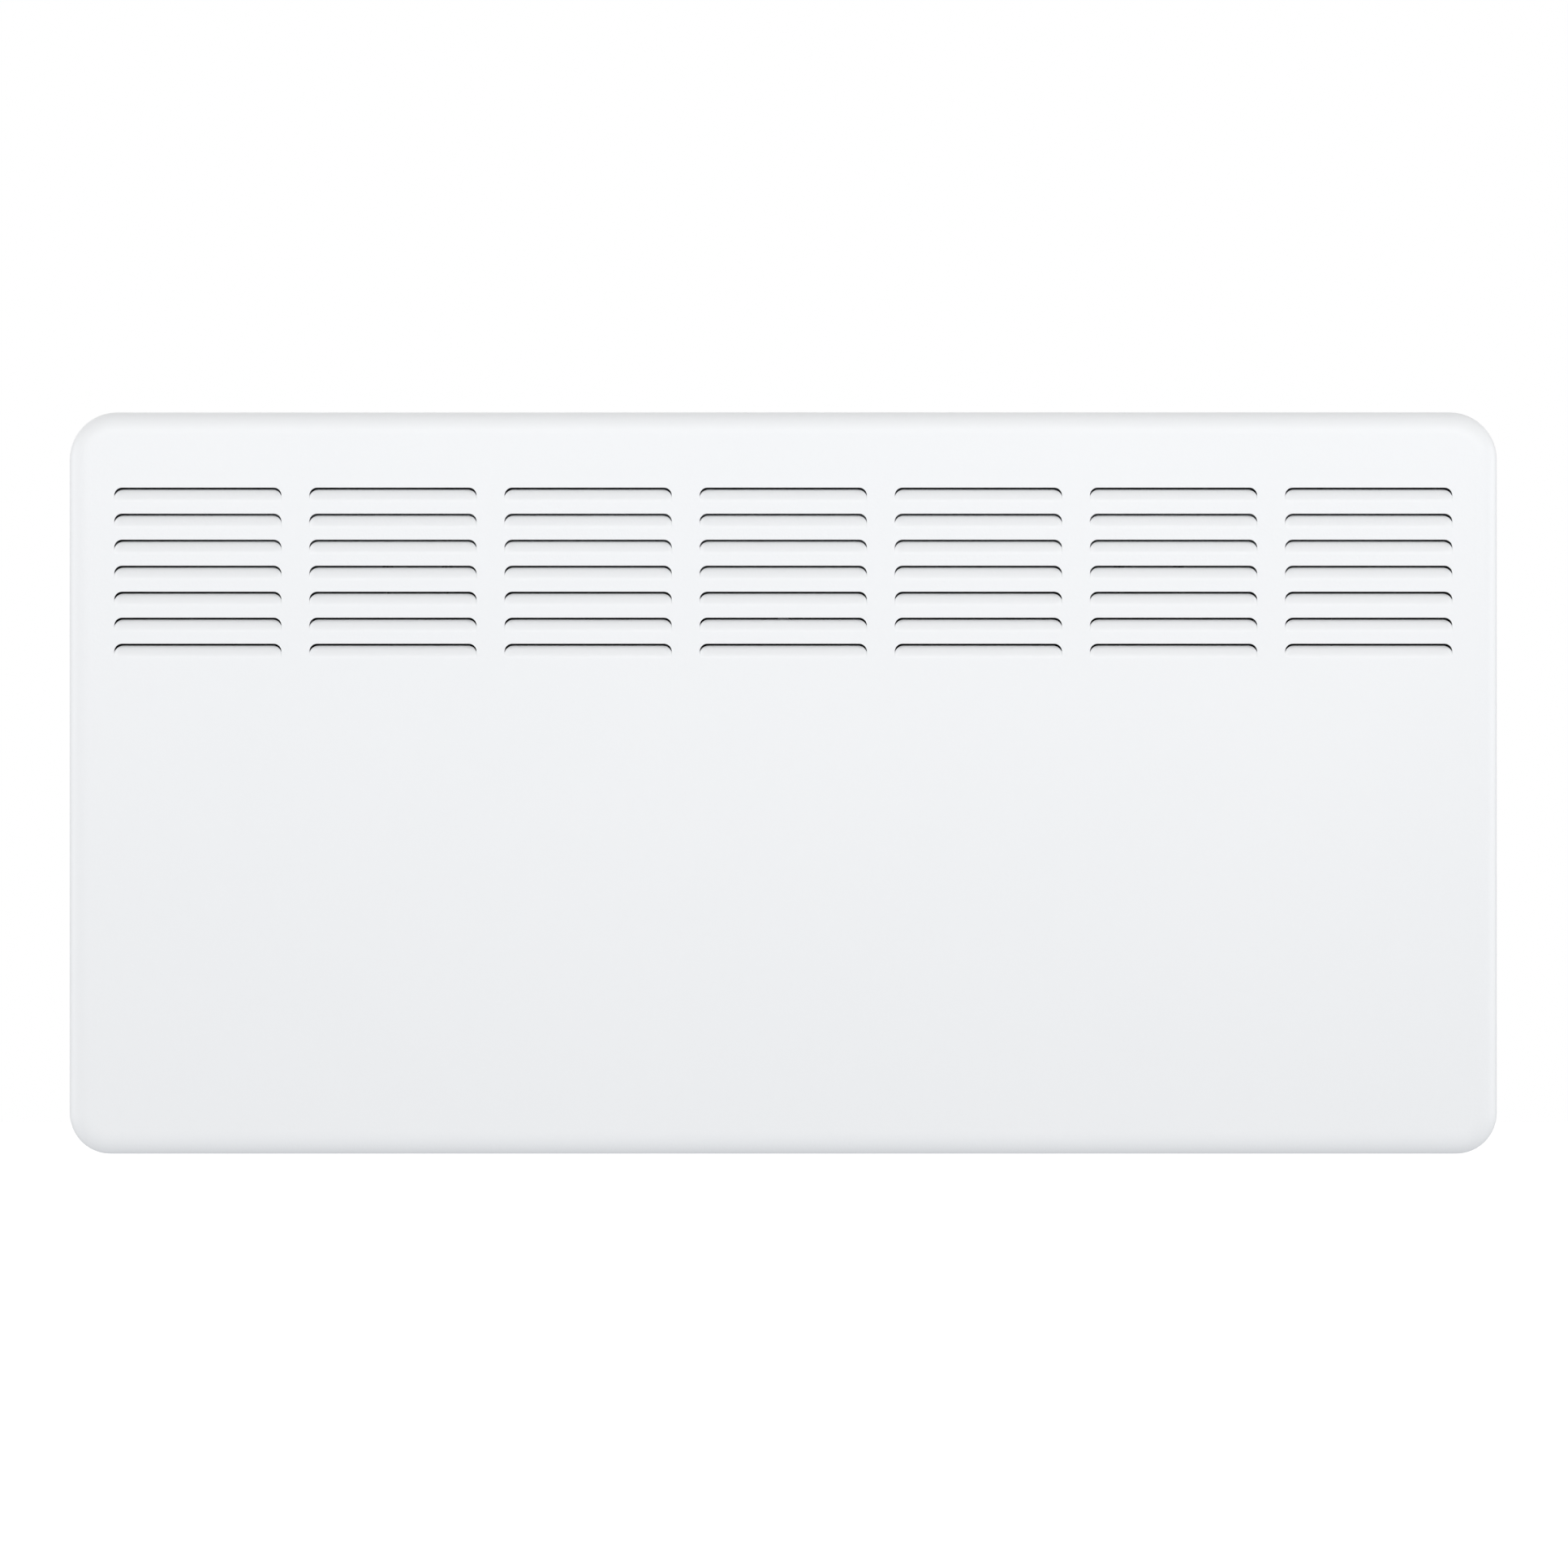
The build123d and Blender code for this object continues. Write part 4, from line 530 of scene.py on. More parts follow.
def rounded(piece, width, bend=35.0):
    """Rounds a piece's edges that turn more than bend. The piece keeps inside the box it had before."""
    before = points_of(piece.data)
    edge = piece.modifiers.new("edges", "BEVEL")
    edge.width, edge.segments, edge.limit_method = width * mm, 2, "ANGLE"
    edge.angle_limit, edge.use_clamp_overlap = math.radians(bend), False
    finished(piece)
    held = np.clip(points_of(piece.data), before.min(0), before.max(0)) * mm
    piece.data.vertices.foreach_set("co", np.ascontiguousarray(held, np.float32).ravel())
    return piece


def softened(node, finish, width, bend=35.0, reshape=None):
    """A copy of a CAD node's shape that stands for it: doubled corners merged, flats joined up, and every
    edge that turns more than bend rounded to width. reshape moves its points, in millimetres, before."""
    source = frame["nodes"][node]
    mesh, slot = source.data.copy(), source.data.materials[0].name
    for extra in [layer for layer in mesh.attributes if layer.name in ("custom_normal", "sharp_edge")]:
        mesh.attributes.remove(extra)
    if reshape:
        points = reshape(points_of(mesh)) * mm
        mesh.vertices.foreach_set("co", np.ascontiguousarray(points, np.float32).ravel())
    shape = bmesh.new()
    shape.from_mesh(mesh)
    bmesh.ops.remove_doubles(shape, verts=shape.verts, dist=weld * mm)
    bmesh.ops.dissolve_limit(
        shape, angle_limit=math.radians(flat_turn), verts=shape.verts, edges=shape.edges)
    shape.to_mesh(mesh)
    shape.free()
    piece = shown(node + "_rounded", mesh, finish, source["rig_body"], node)
    return rounded(piece, width, bend)


# Painted shade: the zinc, heat shield and hooks behind the lower louvres are painted nearly black where they
# are seen through the louvre gaps, from the first height or depth, where it is bright, to the second, where
# it is dark.
painted_shade_above, painted_shade_below, painted_shade_inside = (56.0, 64.0), (146.0, 96.0), (-18.3, -18.4)
painted_shade_colour = (0.03, 0.031, 0.033)

galvanised = Finish("galvanised_sheet", Metallic=1.0)
ragged = galvanised.node("ShaderNodeVectorMath", {"operation": "MULTIPLY_ADD"}, {
    0: galvanised.node("ShaderNodeTexNoise", {}, {
        "Vector": galvanised.place, "Scale": 90, "Detail": 2}, output="Color"),
    1: (0.009, 0.009, 0.009), 2: galvanised.place})
spangle = galvanised.grains(125, ragged)
shade = galvanised.between(
    spangle * 0.8 + galvanised.noise(12, 3.0) * 0.2, (0.52, 0.545, 0.57), (0.71, 0.725, 0.735))
painted_shade_mask = galvanised.along("Z", *painted_shade_above) * galvanised.along("Z", *painted_shade_below)
# painted shade: the front face goes nearly black between the two heights, on the back panel and every part in
# this finish
galvanised.lay(
    (painted_shade_mask * galvanised.along("Y", *painted_shade_inside), shade, painted_shade_colour),
    0.30 + spangle * 0.24,
    spangle + galvanised.noise(500) * 0.3, 0.00001)
galvanised.on("air_deflector", "partition", "element_support", "cutout_bracket", "sensor_clip")
softened("back_panel", galvanised, 0.25)

rivet_metal = Finish("aluminium_rivets", Metallic=1.0)
rivet_metal.lay(
    (rivet_metal.noise(220, 3.0), (0.68, 0.68, 0.69), (0.83, 0.83, 0.84)),
    0.32 + rivet_metal.noise(500, 2.0) * 0.2,
    rivet_metal.noise(1800), 0.00001)
rivet_metal.on("panel_rivets")


def rubbery(name, dark, light):
    """Rubber or silicone: dull, with soft clouds in its colour and a fine pitted skin."""
    made = Finish(name, Specular_IOR_Level=0.35)
    return made.lay(
        (made.noise(70, 4.0), dark, light),
        0.62 + made.noise(200, 3.0) * 0.2,
        made.noise(1500, 3.0), 0.00004)


rubber = rubbery("black_rubber", (0.022, 0.022, 0.023), (0.048, 0.048, 0.05)).on("lead_grommet")
softened("wall_spacers", rubber, 0.4)


# ---------------------------------------------------------------------------
# Hook slot edging. Dark grey silicone channel, pushed on the sides and foot of each hook slot of the back
# panel, with a lip back on either side of the bracket's flange. It keeps the hooks from rattling. The lips
# are dark strips put where only shade is seen through the louvres: they hide the flange's bright edge.
# ---------------------------------------------------------------------------

hook_slot_xs, hook_slot_half, hook_slot_foot = (-216.25, -183.75, 183.75, 216.25), 1.75, 95.0
panel_faces, hook_gap, edging_top = (-18.7, -18.0), 0.8, 119.4
edging_grip, edging_wall, edging_play = 1.2, 0.6, 0.05
lip_thickness, lip_depths, lip_foot = 0.8, (-17.38, -14.2), 96.3


def edging(x):
    """A channel section carried down one side of a slot, across its foot and up the other: at each corner
    of the path the section leans along the mitre."""
    front, rear = panel_faces
    inner, face = hook_gap - hook_slot_half, edging_play
    section = np.array([
        (inner, front - edging_wall), (edging_grip, front - edging_wall), (edging_grip, front - face),
        (face, front - face), (face, rear + face), (edging_grip, rear + face),
        (edging_grip, rear + edging_wall), (inner, rear + edging_wall)])
    corners = np.array([(-1, edging_top), (-1, hook_slot_foot), (1, hook_slot_foot), (1, edging_top)], float)
    corners[:, 0] *= hook_slot_half
    mitres = np.array([(-1, 0), (-1, -1), (1, -1), (1, 0)], float)
    flat = corners[:, None] + section[None, :, :1] * mitres[:, None]
    depth = np.broadcast_to(section[:, 1], flat.shape[:2])
    points, quads = woven(np.stack([flat[..., 0] + x, depth, flat[..., 1]], -1), closed=True)
    caps = np.array([(0, 1, 2, 3), (0, 3, 4, 7), (7, 4, 5, 6)])
    return points, np.concatenate([quads, caps, caps + len(points) - len(section)])


def lip(x, side):
    # dark strip that stands for shade: it hides the bright flange edge seen through the louvre gaps
    """A flat strip up one side of a slot, behind its channel: a rectangle carried straight up."""
    near, far = x + side * hook_gap, x + side * (hook_gap + lip_thickness)
    front, rear = lip_depths
    ring = np.array([(near, front), (far, front), (far, rear), (near, rear)])
    rings = [np.insert(ring, 2, z, axis=1) for z in (lip_foot, edging_top)]
    points, quads = woven(np.stack(rings), closed=True)
    return points, np.concatenate([quads, [(0, 1, 2, 3), (4, 5, 6, 7)]])


edging_silicone = rubbery("grey_edging_silicone", (0.07, 0.07, 0.072), (0.10, 0.10, 0.102))
edging_mesh = joined("hook_slot_edging", [
    *(edging(x) for x in hook_slot_xs), *(lip(x, side) for x in hook_slot_xs for side in (-1, 1))])
rounded(shown("hook_slot_edging", edging_mesh, edging_silicone, "heater"), 0.12)


# ---------------------------------------------------------------------------
# Wall bracket. Two folded uprights with hooks and two folded crossbars, riveted together and plated with
# clear-passivated zinc. It is screwed to the wall and the heater hangs on its hooks.
# ---------------------------------------------------------------------------

hook_shade_depths = (-15.5, -16.0)             # past these the hooks reach in behind the louvres, and are painted in shade there


def plated(name, grain, depths=None):
    """Zinc-plated sheet: cloudy, with rolling lines that the grain's scales draw out along x, y or z, and
    painted nearly black as painted shade from the first of the depths to the second."""
    made = Finish(name, Metallic=1.0)
    cloud = made.noise(11, 3.0)
    rolled = made.noise(1.0, 3.0, made.stretched(*grain))
    colours = cloud, (0.62, 0.645, 0.68), (0.76, 0.755, 0.735)
    # painted shade where the hooks reach in behind the louvres
    if depths:
        colours = made.along("Y", *depths), made.between(*colours), painted_shade_colour
    return made.lay(colours, 0.25 + rolled * 0.16 + cloud * 0.08, rolled, 0.000012)


zinc = plated("bright_zinc_plate", (900, 900, 14), hook_shade_depths)
softened("bracket_upright_left", zinc, 0.5)
softened("bracket_upright_right", zinc, 0.5)
crossed = plated("bright_zinc_plate_crossbars", (14, 900, 900))
softened("bracket_crossbar_upper", crossed, 0.5)
softened("bracket_crossbar_lower", crossed, 0.5)
screw_zinc.on("bracket_rivets")


# ---------------------------------------------------------------------------
# Latches. Two small zinc-plated turn latches at the foot of the back panel, each on a shouldered pivot
# with a washer. Turned up, they catch behind the lip of the lower crossbar.
# ---------------------------------------------------------------------------

softened("latch_left", crossed, 0.3)
softened("latch_right", crossed, 0.3)
screw_zinc.on("latch_pivots", "latch_washers")


# ---------------------------------------------------------------------------
# Heat shield, deflector and partition. The shield is bright aluminised sheet behind the element. Silicone
# sponge seals the deflector to the cover, and the partition, with a grommet, keeps the controls cool.
# ---------------------------------------------------------------------------

bright = Finish("bright_aluminised_sheet", Metallic=1.0)
drawn = bright.noise(1.0, 4.0, bright.stretched(8, 1400, 1400))
shade = bright.between(drawn, (0.72, 0.725, 0.735), (0.86, 0.86, 0.865))
# painted shade: above the lowest louvres the bright sheet is painted nearly black, as it is seen through the
# gaps
bright.lay(
    (bright.along("Z", *painted_shade_above), shade, painted_shade_colour),
    0.14 + drawn * 0.16 + bright.noise(25, 3.0) * 0.06,
    drawn, 0.000008)
bright.on("heat_shield")

sponge = Finish("silicone_sponge", Specular_IOR_Level=0.3)
cells = sponge.grains(1400, output="Distance")
sponge.lay(
    (cells, (0.70, 0.69, 0.66), (0.82, 0.81, 0.78)),
    0.7 + sponge.noise(80) * 0.15,
    cells, 0.0002)
sponge.on("deflector_seal")


# ---------------------------------------------------------------------------
# Heating element. A stainless sheathed tube, blued a little by its own heat, pressed into an extruded
# aluminium fin block, with steel pins in ceramic collars and ceramic bushes where it passes the supports.
# ---------------------------------------------------------------------------

sheath = Finish("heat_tinted_tube", Metallic=1.0)
straw = sheath.between(sheath.noise(45), (0.40, 0.36, 0.30), (0.55, 0.50, 0.43))
sheath.lay(
    (sheath.noise(16, 3.0), straw, (0.36, 0.37, 0.45)),
    0.28 + sheath.noise(1.0, 3.0, sheath.stretched(20, 1200, 1200)) * 0.25,
    sheath.noise(600, 3.0), 0.00002)
sheath.on("heating_tube")

fins = Finish("mill_finish_fins", Metallic=1.0)
die_lines = fins.noise(1.0, 4.0, fins.stretched(6, 1600, 1600))
fins.lay(
    (die_lines * 0.7 + fins.noise(30, 3.0) * 0.3, (0.56, 0.57, 0.59), (0.78, 0.785, 0.80)),
    0.30 + die_lines * 0.22,
    die_lines, 0.00003)
fins.on("fin_block")

pin_steel = Finish("plain_steel", Metallic=1.0)
turned = pin_steel.noise(1.0, 2.0, pin_steel.stretched(3000, 60, 60))
pin_steel.lay(
    (pin_steel.noise(120, 3.0), (0.48, 0.48, 0.48), (0.66, 0.66, 0.65)),
    0.26 + turned * 0.2,
    turned, 0.000012)
pin_steel.on("element_pins")

ceramic = Finish("unglazed_ceramic", Specular_IOR_Level=0.35)
body = ceramic.between(ceramic.noise(90), (0.84, 0.82, 0.76), (0.91, 0.89, 0.84))
ceramic.lay(
    (ceramic.grains(1100) > 0.86, body, (0.62, 0.57, 0.48)),
    0.5 + ceramic.noise(300, 3.0) * 0.2,
    ceramic.noise(2200, 3.0), 0.00004)
ceramic.on("element_collars", "element_bushes_right", "element_bushes_left")


# ---------------------------------------------------------------------------
# Overheat cut-out. A bimetal disc under a drawn aluminium cap, in a black thermoset body with two tinned
# brass blades, held against the shield by a galvanised bracket.
# ---------------------------------------------------------------------------

cap = Finish("drawn_aluminium_cap", Metallic=1.0)
draw_marks = cap.noise(1.0, 3.0, cap.stretched(1500, 90, 90))
cap.lay(
    (cap.noise(140, 3.0), (0.68, 0.68, 0.69), (0.82, 0.82, 0.83)),
    0.26 + draw_marks * 0.2,
    draw_marks, 0.00001)
cap.on("cutout_cap")

phenolic = Finish("black_thermoset", Specular_IOR_Level=0.5)
flour = phenolic.noise(420, 4.0)
phenolic.lay(
    (flour ** 2.0, (0.018, 0.017, 0.017), (0.075, 0.062, 0.052)),
    0.34 + phenolic.noise(90, 3.0) * 0.16,
    flour, 0.00002)
phenolic.on("cutout_body", "thermostat_body")

brass = Finish("tinned_brass", Metallic=1.0)
worn = brass.noise(260, 4.0) ** 2.0
brass.lay(
    (worn, (0.80, 0.79, 0.76), (0.72, 0.58, 0.34)),
    0.26 + brass.noise(500, 3.0) * 0.2,
    brass.noise(1500, 2.0), 0.00001)
brass.on("cutout_blades", "thermostat_blades", "switch_blades", "terminal_screws", "earth_tag")


# ---------------------------------------------------------------------------
# Control bezel. A white moulding with a fine spark-eroded grain, held by two welded studs and nuts in the
# window of the cover's right-hand end. Its face lies a hair behind the cover's, and carries printed figures.
# ---------------------------------------------------------------------------

bezel_face, bezel_y = 384.85, -46.0
ink_depth, ink_width, tick_reach, tick_width = 0.05, 0.45, 0.7, 0.3
knob_height, figure_radius, figure_size = 14.0, 17.75, 3.4
lowest, figures = -135.0, 6                    # degrees from upright to the first figure, and their number

bezel_plastic = Finish("grained_white_plastic", Specular_IOR_Level=0.45)
grain = bezel_plastic.noise(2600, 2.0)
bezel_plastic.lay(
    (bezel_plastic.noise(20), (0.84, 0.85, 0.852), (0.865, 0.87, 0.872)),
    0.46 + grain * 0.12,
    grain, 0.00004)
softened("control_bezel", bezel_plastic, 0.3,
         reshape=lambda points: np.minimum(points, [bezel_face, np.inf, np.inf]))
screw_zinc.on("bezel_studs", "bezel_nuts")

ink = Finish("grey_printing_ink", Specular_IOR_Level=0.3)
ink.lay(
    (ink.noise(900, 3.0), (0.075, 0.08, 0.085), (0.12, 0.125, 0.13)),
    0.55 + ink.noise(600) * 0.15,
    ink.noise(3000), 0.00001)


def stroke(path, centre, width=ink_width, closed=False, tilt=0.0):
    """A flat printed line: a rectangle, width across and the ink's depth thick, carried along a path (y, z)
    on the end's face. tilt leans the face back from upright, in degrees."""
    path = np.asarray(path, float)
    if closed:
        path = np.concatenate([path, path[:1]])
    ahead = np.gradient(path, axis=0)
    if closed:
        ahead[0] = ahead[-1] = path[1] - path[-2]
    ahead /= np.linalg.norm(ahead, axis=1, keepdims=True)
    side = np.stack([-ahead[:, 1], ahead[:, 0]], -1) * width / 2
    section = [(side, 0), (-side, 0), (-side, ink_depth), (side, ink_depth)]
    flat = np.stack([np.column_stack([path + away, np.full(len(path), high)]) for away, high in section], 1)
    lean = math.radians(tilt)
    axes = np.array([
        (0, 1, 0), (math.sin(lean), 0, math.cos(lean)), (math.cos(lean), 0, -math.sin(lean))])
    points, quads = woven(flat @ axes + np.asarray(centre), closed=True)
    if not closed:
        last = len(points) - 4
        quads = np.concatenate([quads, [[3, 2, 1, 0], [last, last + 1, last + 2, last + 3]]])
    return points, quads


def figure(text, y, z):
    """A printed figure on the bezel's face, centred at y, z, as a thin solid."""
    letters = bpy.data.curves.new("figure", "FONT")
    letters.body, letters.size, letters.extrude = text, figure_size * mm, ink_depth * mm / 2
    letters.align_x, letters.align_y, letters.resolution_u = "CENTER", "CENTER", 6
    holder = bpy.data.objects.new("figure", letters)
    solid = bpy.data.meshes.new_from_object(holder)
    points = points_of(solid)
    points -= (points.max(0) + points.min(0)) / 2
    points = points[:, [2, 0, 1]] + (bezel_face + ink_depth / 2, y, z)
    faces = [tuple(face.vertices) for face in solid.polygons]
    bpy.data.objects.remove(holder)
    return points, faces


def dialled(angle, radius):
    """Point at an angle from upright, clockwise as the end is seen, and a radius about the knob's axis."""
    turn = np.radians(angle)
    return np.stack([bezel_y + radius * np.sin(turn), knob_height + radius * np.cos(turn)], -1)


figure_pitch = -2 * lowest / (figures - 1)
printed = bmesh.new()
for number in range(figures):
    points, faces = figure(str(number + 1), *dialled(lowest + figure_pitch * number, figure_radius))
    corners = [printed.verts.new(point * mm) for point in points.astype(float)]
    for face in faces:
        printed.faces.new([corners[i] for i in face])
bmesh.ops.remove_doubles(printed, verts=printed.verts, dist=0.0005 * mm)
figures_mesh = bpy.data.meshes.new("dial_figures")
printed.to_mesh(figures_mesh)
printed.free()
shown("dial_figures", figures_mesh, ink, "heater")

tick_radii = figure_radius + np.array([-tick_reach, tick_reach])
ticks = [
    stroke(dialled(angle, tick_radii), (bezel_face, 0, 0), tick_width)
    for angle in lowest + figure_pitch * (np.arange(figures - 1) + 0.5)]
shown("dial_ticks", joined("dial_ticks", ticks), ink, "heater")


# ---------------------------------------------------------------------------
# Thermostat. Its black body hangs behind the bezel's dish on two screws. The light grey knob turns on the
# flatted steel spindle inside the dish, and its pointer line is inked in the grip's groove.
# ---------------------------------------------------------------------------

knob_top, pointer_depth, pointer_ends, pointer_ink = 384.4, 0.5, (21.6, 26.4), 0.7

screw_zinc.on("thermostat_screws")
pin_steel.on("thermostat_spindle")

knob_plastic = Finish("light_grey_knob_plastic", Specular_IOR_Level=0.5)
silk = knob_plastic.noise(3200, 2.0)
knob_plastic.lay(
    (knob_plastic.noise(45), (0.66, 0.67, 0.68), (0.71, 0.715, 0.72)),
    0.34 + silk * 0.12,
    silk, 0.00002)
softened("thermostat_knob", knob_plastic, 0.1, bend=75)

pointer = stroke([(bezel_y, z) for z in pointer_ends], (knob_top - pointer_depth, 0, 0), pointer_ink)
shown("knob_pointer_line", joined("knob_pointer_line", [pointer]), ink, "thermostat")


# ---------------------------------------------------------------------------
# Indicator lamp. A small domed amber lens with moulded rings, pressed on a clear grey barrel that holds
# the neon behind the bezel.
# ---------------------------------------------------------------------------

lamp_height, lens_radius, lens_seat, lens_rim, lens_crown, lens_edge = -20.0, 5.2, 383.4, 0.7, 0.55, 0.3
lens_rings, ring_relief, lens_points = 4, 0.05, 60


def turned_solid(profile, y, z, count=48):
    """A profile of (radius, x) carried round an axis along x through y, z. It starts and ends on the axis."""
    turn = np.linspace(0, 2 * np.pi, count, endpoint=False)
    radius, x = np.asarray(profile, float).T[:, :, None]
    return woven(np.stack(np.broadcast_arrays(
        x, y + radius * np.sin(turn), z + radius * np.cos(turn)), -1), closed=True)


def lens_profile():
    """A flat back, a plain rim and a dome: its height falls with the square of the radius, and rings of a
    raised cosine stand on it."""
    radius = np.linspace(0, lens_radius - lens_edge, lens_points)
    share = radius / lens_radius
    rings = ring_relief * (1 - np.cos(2 * np.pi * lens_rings * share)) / 2
    top = lens_seat + (lens_rim + lens_crown * (1 - share ** 2) + rings)
    rim = arc((top[-1] - lens_edge, lens_radius - lens_edge), lens_edge, 90, 0, 6)[:-1, ::-1]
    return [(0, lens_seat), (lens_radius, lens_seat), *rim, *np.column_stack([radius, top])[::-1]]


amber = Finish("amber_lens", Specular_IOR_Level=0.6, Coat_Weight=0.6, Coat_Roughness=0.08)
depths = amber.noise(260, 3.0)
amber.lay(
    (depths, (0.82, 0.26, 0.03), (0.95, 0.44, 0.08)),
    0.12 + amber.noise(500) * 0.08,
    depths, 0.00003)
lens_mesh = joined("lamp_lens_dome", [turned_solid(lens_profile(), bezel_y, lamp_height)])
lens_mesh.shade_smooth()
lens_mesh.set_sharp_from_angle(angle=math.radians(crease))
shown("lamp_lens_dome", lens_mesh, amber, "heater", "lamp_lens")

barrel = Finish("clear_grey_barrel", Specular_IOR_Level=0.5)
flow = barrel.noise(1.0, 3.0, barrel.stretched(120, 900, 900))
barrel.lay(
    (flow, (0.44, 0.45, 0.46), (0.58, 0.59, 0.60)),
    0.16 + flow * 0.12,
    flow, 0.00002)
barrel.on("lamp_body")


# ---------------------------------------------------------------------------
# Switch. A glossy white snap-in switch in the bezel's recess. Its rocker tips on two stub pins; a ring is
# printed on the half that is pressed when it is off, and a bar on the other.
# ---------------------------------------------------------------------------

rocker_axis, switch_height, rocker_crown, rocker_lean = 380.0, -46.0, 1.6, 9.0
mark_reach, mark_width, ring_radius, bar_half = 5.0, 0.55, 1.55, 1.7


def glossy(name, dark, light, flows, least, ripples):
    """A polished moulding: faint flow marks, so many to the metre, in its colour and its gloss, over the
    least roughness, and very fine ripples."""
    made = Finish(name, Specular_IOR_Level=0.55)
    flow = made.noise(flows, 3.0)
    return made.lay((flow, dark, light), least + flow * 0.1, made.noise(ripples), 0.00001)


body_white = glossy("glossy_white_switch", (0.80, 0.81, 0.812), (0.835, 0.842, 0.845), 60, 0.2, 900)
softened("switch_body", body_white, 0.25)
rocker_white = glossy("glossy_white_rocker", (0.85, 0.852, 0.845), (0.88, 0.882, 0.878), 80, 0.17, 1200)
softened("switch_rocker", rocker_white, 0.3)


def on_rocker(path, half, closed=False):
    """A printed mark on one half of the rocker's shallow V, upper (1) or lower (-1). Both halves rise from
    the valley by the rocker's lean, and the whole rocker is tipped by it again, so the upper half stands
    upright and the lower leans out by twice as much."""
    lean = math.radians(rocker_lean)
    along = mark_reach / math.cos(lean)
    tilt = -rocker_lean + half * rocker_lean
    place = (
        rocker_axis + rocker_crown * math.cos(lean) - along * math.sin(math.radians(tilt)),
        bezel_y,
        switch_height + rocker_crown * math.sin(lean) + half * along * math.cos(math.radians(tilt)),
    )
    return stroke(path, place, mark_width, closed, tilt)


circle = np.linspace(0, 2 * np.pi, 32, endpoint=False)
marks = [
    on_rocker(ring_radius * np.column_stack([np.sin(circle), np.cos(circle)]), 1, closed=True),
    on_rocker([(0, -bar_half), (0, bar_half)], -1),
]
shown("rocker_marks", joined("rocker_marks", marks), ink, "rocker")


# ---------------------------------------------------------------------------
# Room sensor. A copper phial on the back panel, above the inlet slots, with a fine copper capillary to the
# thermostat. A galvanised clip holds it.
# ---------------------------------------------------------------------------

copper = Finish("dulled_copper", Metallic=1.0)
tarnish = copper.noise(130, 4.0)
copper.lay(
    (tarnish ** 1.5, (0.80, 0.46, 0.31), (0.46, 0.25, 0.17)),
    0.24 + tarnish * 0.24,
    copper.noise(900, 3.0), 0.00001)
copper.on("sensor_phial", "sensor_capillary")


# ---------------------------------------------------------------------------
# Supply entry. An off-white terminal block with brass screws, an earth stud with its tag and nut, and a
# black nylon gland and nut where the supply cable would come in.
# ---------------------------------------------------------------------------

block_plastic = Finish("off_white_block_plastic", Specular_IOR_Level=0.4)
moulded = block_plastic.noise(260, 3.0)
block_plastic.lay(
    (moulded, (0.76, 0.75, 0.70), (0.84, 0.835, 0.79)),
    0.42 + moulded * 0.16,
    block_plastic.noise(1800), 0.00003)
block_plastic.on("terminal_block")
screw_zinc.on("earth_stud", "earth_nut")

nylon = Finish("black_nylon", Specular_IOR_Level=0.45)
bloom = nylon.noise(110, 4.0)
nylon.lay(
    (bloom, (0.03, 0.031, 0.034), (0.062, 0.063, 0.067)),
    0.36 + bloom * 0.2,
    nylon.noise(2200, 3.0), 0.00003)
nylon.on("gland_nut")
softened("cable_gland", nylon, 0.3)


# ---------------------------------------------------------------------------
# Internal leads. Silicone-covered leads, brown, blue and white, and a green lead with a yellow stripe to
# the earth stud.
# ---------------------------------------------------------------------------

def silicone(name, dark, light):
    """A silicone sleeve: two near shades in soft patches, a waxy gloss and a faint dusty bloom."""
    sleeve = Finish(name, Specular_IOR_Level=0.4)
    patches = sleeve.noise(180, 3.0)
    return sleeve.lay((patches, dark, light), 0.4 + patches * 0.2, sleeve.noise(1600), 0.00003)


silicone("brown_lead", (0.20, 0.09, 0.045), (0.30, 0.145, 0.075)).on(
    "wire_block_to_switch", "wire_switch_to_thermostat")
silicone("white_lead", (0.78, 0.77, 0.73), (0.86, 0.855, 0.82)).on(
    "wire_thermostat_to_cutout", "wire_cutout_to_element")
silicone("blue_lead", (0.05, 0.15, 0.42), (0.08, 0.22, 0.55)).on("wire_block_to_element")

greens, yellow = ((0.05, 0.30, 0.09), (0.08, 0.38, 0.12)), (0.82, 0.70, 0.06)
stripe_side, stripe_start = (0.55, 0.6, 0.58), 0.3
earth = silicone("green_yellow_lead", *greens)
towards = earth.node("ShaderNodeVectorMath", {"operation": "DOT_PRODUCT"}, {
    0: earth.node("ShaderNodeTexCoord", output="Normal"), 1: stripe_side}, output="Value")
sleeve = earth.between(earth.noise(180, 3.0), *greens)
earth.set(Base_Color=earth.between(towards > stripe_start, sleeve, yellow)).on("wire_earth")


# ---------------------------------------------------------------------------
# Studio. A pale paper floor well below the heater, clear from underneath and throwing no light back, a white
# surround, and four large soft lights: above in front, at either side, and behind.
# ---------------------------------------------------------------------------

floor_level, floor_near, floor_far, floor_side = -0.46, -8.0, 6.0, 8.0
floor_mesh = bpy.data.meshes.new("floor")
floor_mesh.from_pydata([
    (-floor_side, floor_near, floor_level), (floor_side, floor_near, floor_level),
    (floor_side, floor_far, floor_level), (-floor_side, floor_far, floor_level)], [], [(0, 1, 2, 3)])
floor = bpy.data.objects.new("floor", floor_mesh)
bpy.context.scene.collection.objects.link(floor)
paper = Finish("floor_paper", Base_Color=(0.9, 0.9, 0.9, 1), Roughness=0.9,
               Emission_Color=(1, 1, 1, 1), Emission_Strength=0.6)
seen = paper.node("ShaderNodeMixShader", {}, {
    0: paper.node("ShaderNodeNewGeometry", output="Backfacing"),
    1: Field(paper, paper.shader.outputs[0]), 2: paper.node("ShaderNodeBsdfTransparent")})
paper.feed(paper.tree.nodes["Material Output"].inputs["Surface"], seen)
floor_mesh.materials.append(paper.material)
floor.visible_diffuse = floor.visible_glossy = False

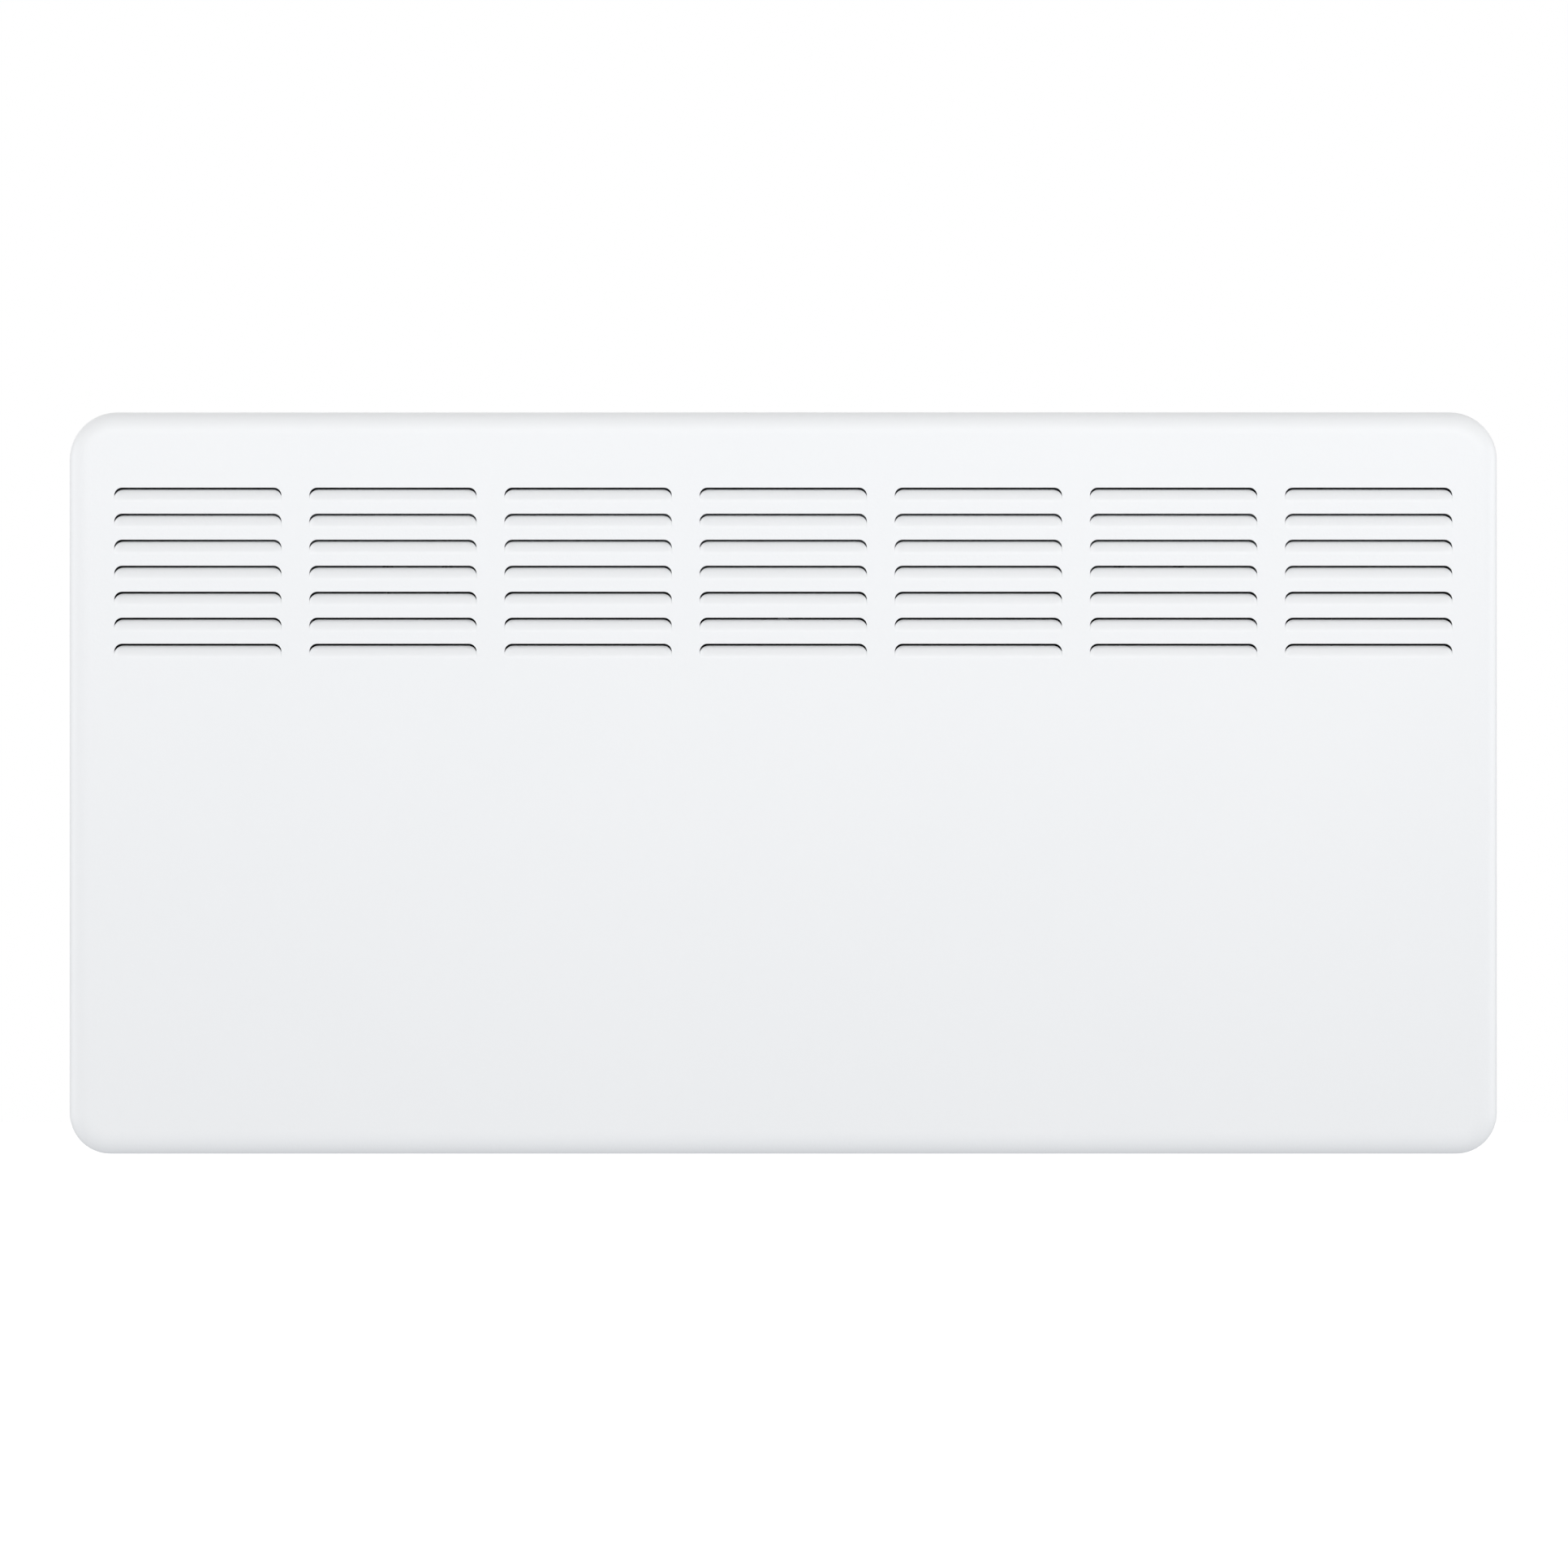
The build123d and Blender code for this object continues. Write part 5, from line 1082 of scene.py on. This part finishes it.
world = bpy.data.worlds.new("studio")
bpy.context.scene.world = world
sky = Nodes(world)
height = sky.node("ShaderNodeSeparateXYZ", {}, {
    0: sky.node("ShaderNodeTexCoord", output="Generated")}, output="Z")
half = sky.node("ShaderNodeMath", {"operation": "MULTIPLY_ADD"}, {0: height, 1: 0.5, 2: 0.5})


def surround(*stops):
    """Light from all round: colours by the direction's height, 0 straight down to 1 straight up."""
    tint = sky.node("ShaderNodeValToRGB", {}, {0: half})
    ramp = tint.socket.node.color_ramp.elements
    while len(ramp) < len(stops):
        ramp.new(0.5)
    for stop, (position, colour) in zip(ramp, stops):
        stop.position, stop.color = position, (*colour, 1)
    return sky.node("ShaderNodeBackground", {}, {"Color": tint})


def chosen(ray, otherwise, light):
    """The light that rays of one kind meet instead of the rest."""
    return sky.node("ShaderNodeMixShader", {}, {
        0: sky.node("ShaderNodeLightPath", output=ray), 1: otherwise, 2: light})


soft = surround((0.3, (0.85, 0.865, 0.89)), (0.6, (0.78, 0.78, 0.785)), (1.0, (0.36, 0.365, 0.37)))
mirrored = surround((0.25, (0.36, 0.37, 0.38)), (0.47, (0.52, 0.53, 0.54)), (0.75, (0.92, 0.92, 0.92)))
backdrop = surround((0.0, (1, 1, 1)), (1.0, (1, 1, 1)))
light = chosen("Is Camera Ray", chosen("Is Glossy Ray", soft, mirrored), backdrop)
sky.feed(sky.tree.nodes["World Output"].inputs["Surface"], light)


def softbox(name, place, target, size, power):
    """Large soft light at a place, turned to a target, that the camera doesn't see."""
    data = bpy.data.lights.new(name, "AREA")
    data.shape, data.energy = "RECTANGLE", power
    data.size, data.size_y = size
    light = bpy.data.objects.new(name, data)
    light.location = place
    light.rotation_euler = (Vector(target) - Vector(place)).to_track_quat("-Z", "Y").to_euler()
    light.visible_camera = False
    bpy.context.scene.collection.objects.link(light)


softbox("key", (0.1, -1.3, 0.62), (0, 0, 0.1), (3.4, 0.8), 12)
softbox("left_side", (-2.4, 0.35, 0.1), (0, -0.05, 0), (1.0, 1.6), 8.5)
softbox("right_side", (2.4, 0.35, 0.1), (0, -0.05, 0), (1.0, 1.6), 9)
softbox("back", (-0.9, 2.2, 0.9), (0, 0, 0), (1.6, 1.2), 4)
bpy.context.scene.view_settings.view_transform = "Standard"
